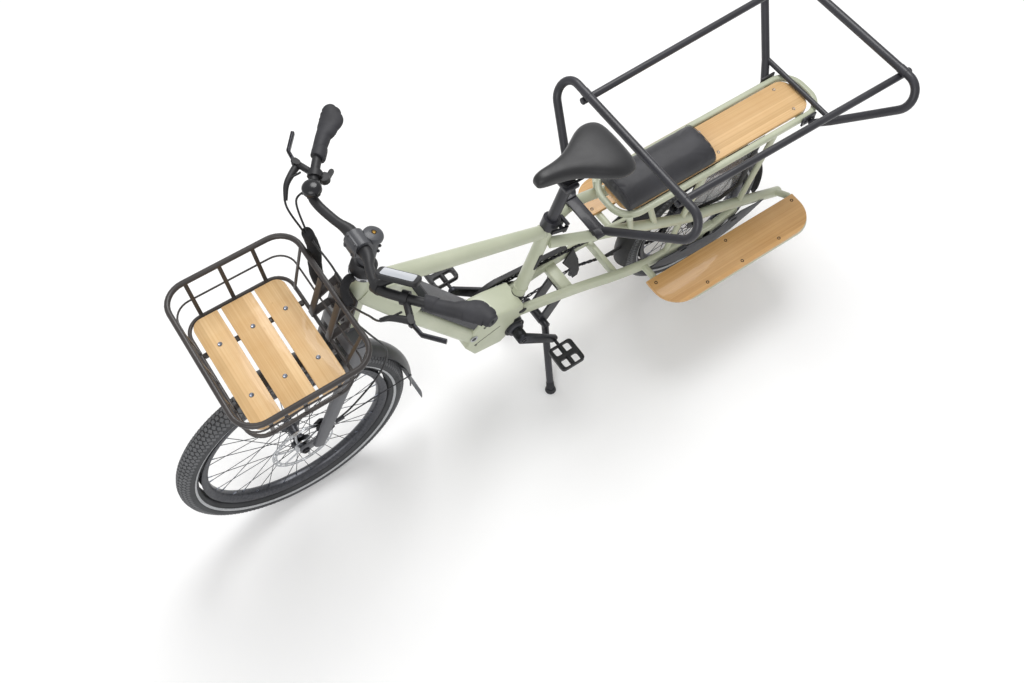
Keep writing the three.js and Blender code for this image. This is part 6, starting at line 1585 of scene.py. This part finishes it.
def build_pedal(name, side):
    end = crank_axle + crank_reach * side
    middle = side * (pedal.inner + pedal.size / 2)
    bm = bmesh.new()
    outline = [(end.x + x, middle + y) for x, y in pill(pedal.size, pedal.size, 12, 5)]
    slot = pill(58, 27, 6, 4)
    holes = [[(end.x + x, middle + way * pedal.slot_out + y) for x, y in slot][::-1] for way in (1, -1)]
    plate(bm, outline, end.z - pedal.half, end.z + pedal.half, "Z", 2.4, holes=holes)
    for way in (1, -1):
        for out in pedal.pin_outs:
            for face in (pedal.half, -pedal.half):
                foot = at(end.x + way * pedal.pin_reach, middle + out, end.z + face * 0.9)
                bar_between(bm, foot, at(foot.x, foot.y, end.z + face), 2.0, 8)
    bar_between(bm, at(end.x, middle - 33, end.z), at(end.x, middle + 33, end.z), 7.6, 20)
    bar_between(bm, at(end.x, side * 85, end.z), at(end.x, side * 125, end.z), 5, 20)
    finish_piece(f"pedal_{name}", bm, black_plastic, f"{name}_pedal", f"pedal_{name}")
    bm = bmesh.new()
    for way in (1, -1):
        x = end.x + way * pedal.reflector
        block(bm, at(x - 2, middle - 22, end.z - 5), at(x + 2.2, middle + 22, end.z + 5), 1)
    finish_piece(f"pedal_reflectors_{name}", bm, amber, f"{name}_pedal", ())


# The passenger cushion, blown up a little by cloth simulation from a smaller blank
cushion = Sizes(half=68, tall=52.5, seat=614.4, fill=0.85)
cushion_stations = ((32.5, 0.955), (36, 0.99), (60, 1), (120, 1), (190, 1), (250, 1), (308, 1), (333, 0.99),
                    (336.5, 0.955))
piping = Sizes(places=(36, 333), inside=-0.2, radius=0.8)
arch = ((0.97, 0), (0.99, 0.1), (1, 0.26), (0.98, 0.45), (0.9, 0.64), (0.75, 0.81), (0.51, 0.93), (0.26, 0.98),
        (0, 1))


def arch_line(x, grow=0.0):
    half = [(y * (cushion.half + grow), z * (cushion.tall + grow)) for y, z in arch]
    full = half + [(-y, z) for y, z in half[-2::-1]]
    return [at(x, y, cushion.seat + z) for y, z in full]


def build_cushion():
    bm = bmesh.new()
    rings = []
    for x, share in cushion_stations:
        ring = [bm.verts.new(at(p.x, p.y * share, cushion.seat + (p.z - cushion.seat) * share)) for p in arch_line(x)]
        rings.append(closed_edges(bm, ring))
    bridged(bm, rings)
    piece = finish_piece("seat_cushion", bm, cushion_skin, "bike", "seat_cushion", sharp=180)
    puff(piece)
    mesh = piece.data
    low = (TO_ROW @ at(0, 0, cushion.seat - 0.1)).z
    for v in mesh.vertices:
        v.co.z = max(v.co.z, low)
    mesh.shade_smooth()
    bm = bmesh.new()
    for x in piping.places:
        tube(bm, eased(arch_line(x, piping.inside)[1:-1], 4), piping.radius, 10)
    seams = finish_piece("cushion_piping", bm, cushion_skin, "bike", ())
    seams.data.shade_smooth()


blank = Sizes(voxel=0.005, held=0.004, pressure=4, frames=20, most=0.0022)


def puff(piece):
    seat = (TO_ROW @ at(0, 0, cushion.seat)).z
    skin = piece.modifiers.new("even_skin", "REMESH")
    skin.mode = "VOXEL"
    skin.voxel_size = blank.voxel
    bpy.context.view_layer.objects.active = piece
    piece.select_set(True)
    bpy.ops.object.modifier_apply(modifier=skin.name)
    start = [v.co.copy() for v in piece.data.vertices]
    pins = piece.vertex_groups.new(name="held")
    for v in piece.data.vertices:
        if v.co.z < seat + blank.held:
            pins.add([v.index], 1.0, "ADD")
    cloth = piece.modifiers.new("cloth", "CLOTH")
    cloth.settings.use_pressure = True
    cloth.settings.uniform_pressure_force = blank.pressure
    cloth.settings.effector_weights.gravity = 0
    cloth.settings.vertex_group_mass = pins.name
    cloth.point_cache.frame_start, cloth.point_cache.frame_end = 1, blank.frames
    for step in range(1, blank.frames + 1):
        bpy.context.scene.frame_set(step)
    bpy.ops.object.modifier_apply(modifier=cloth.name)
    bpy.context.scene.frame_set(1)
    for v, old in zip(piece.data.vertices, start):
        moved = v.co - old
        if moved.length > blank.most:
            v.co = old + moved.normalized() * blank.most
    piece.vertex_groups.clear()
    finer = piece.modifiers.new("finer", "SUBSURF")
    finer.levels = finer.render_levels = 1
    piece.select_set(False)


def build_floor():
    bm = bmesh.new()
    bmesh.ops.create_grid(bm, x_segments=1, y_segments=1, size=14, matrix=Matrix.Translation((0, 0, -0.0002)))
    mesh = bpy.data.meshes.new("floor")
    bm.to_mesh(mesh)
    bm.free()
    floor = bpy.data.objects.new("floor", mesh)
    bpy.context.collection.objects.link(floor)
    cover = plain("floor_paper", "#ffffff", 0.9, specular=0.0)
    mesh.materials.append(cover)


aim_camera()
light_studio()
build_floor()
tyre("tyre_front", front_axle, front_tyre, "front_wheel")
tyre("tyre_rear", rear_axle, rear_tyre, "rear_wheel")
wheel("wheel_front", front_axle, front_tyre, hub.front_half, hub.flange_out, "front_wheel")
wheel("wheel_rear", rear_axle, rear_tyre, hub.rear_half, hub.flange_out, "rear_wheel")
rotor("front_rotor", front_axle, "front_wheel")
sprockets("rear_wheel")
build_main_frame()
build_battery()
build_drive_unit()
build_rear_sides()
build_deck()
build_footrests()
build_hoops()
build_guards()
build_fenders()
build_tail_light()
build_stand()
build_basket()
build_fork()
build_stem()
build_handlebar()
build_bell_and_display()
build_cables()
build_brake_hose()
build_saddle()
build_seat_post()
build_chain()
build_cranks()
build_cushion()
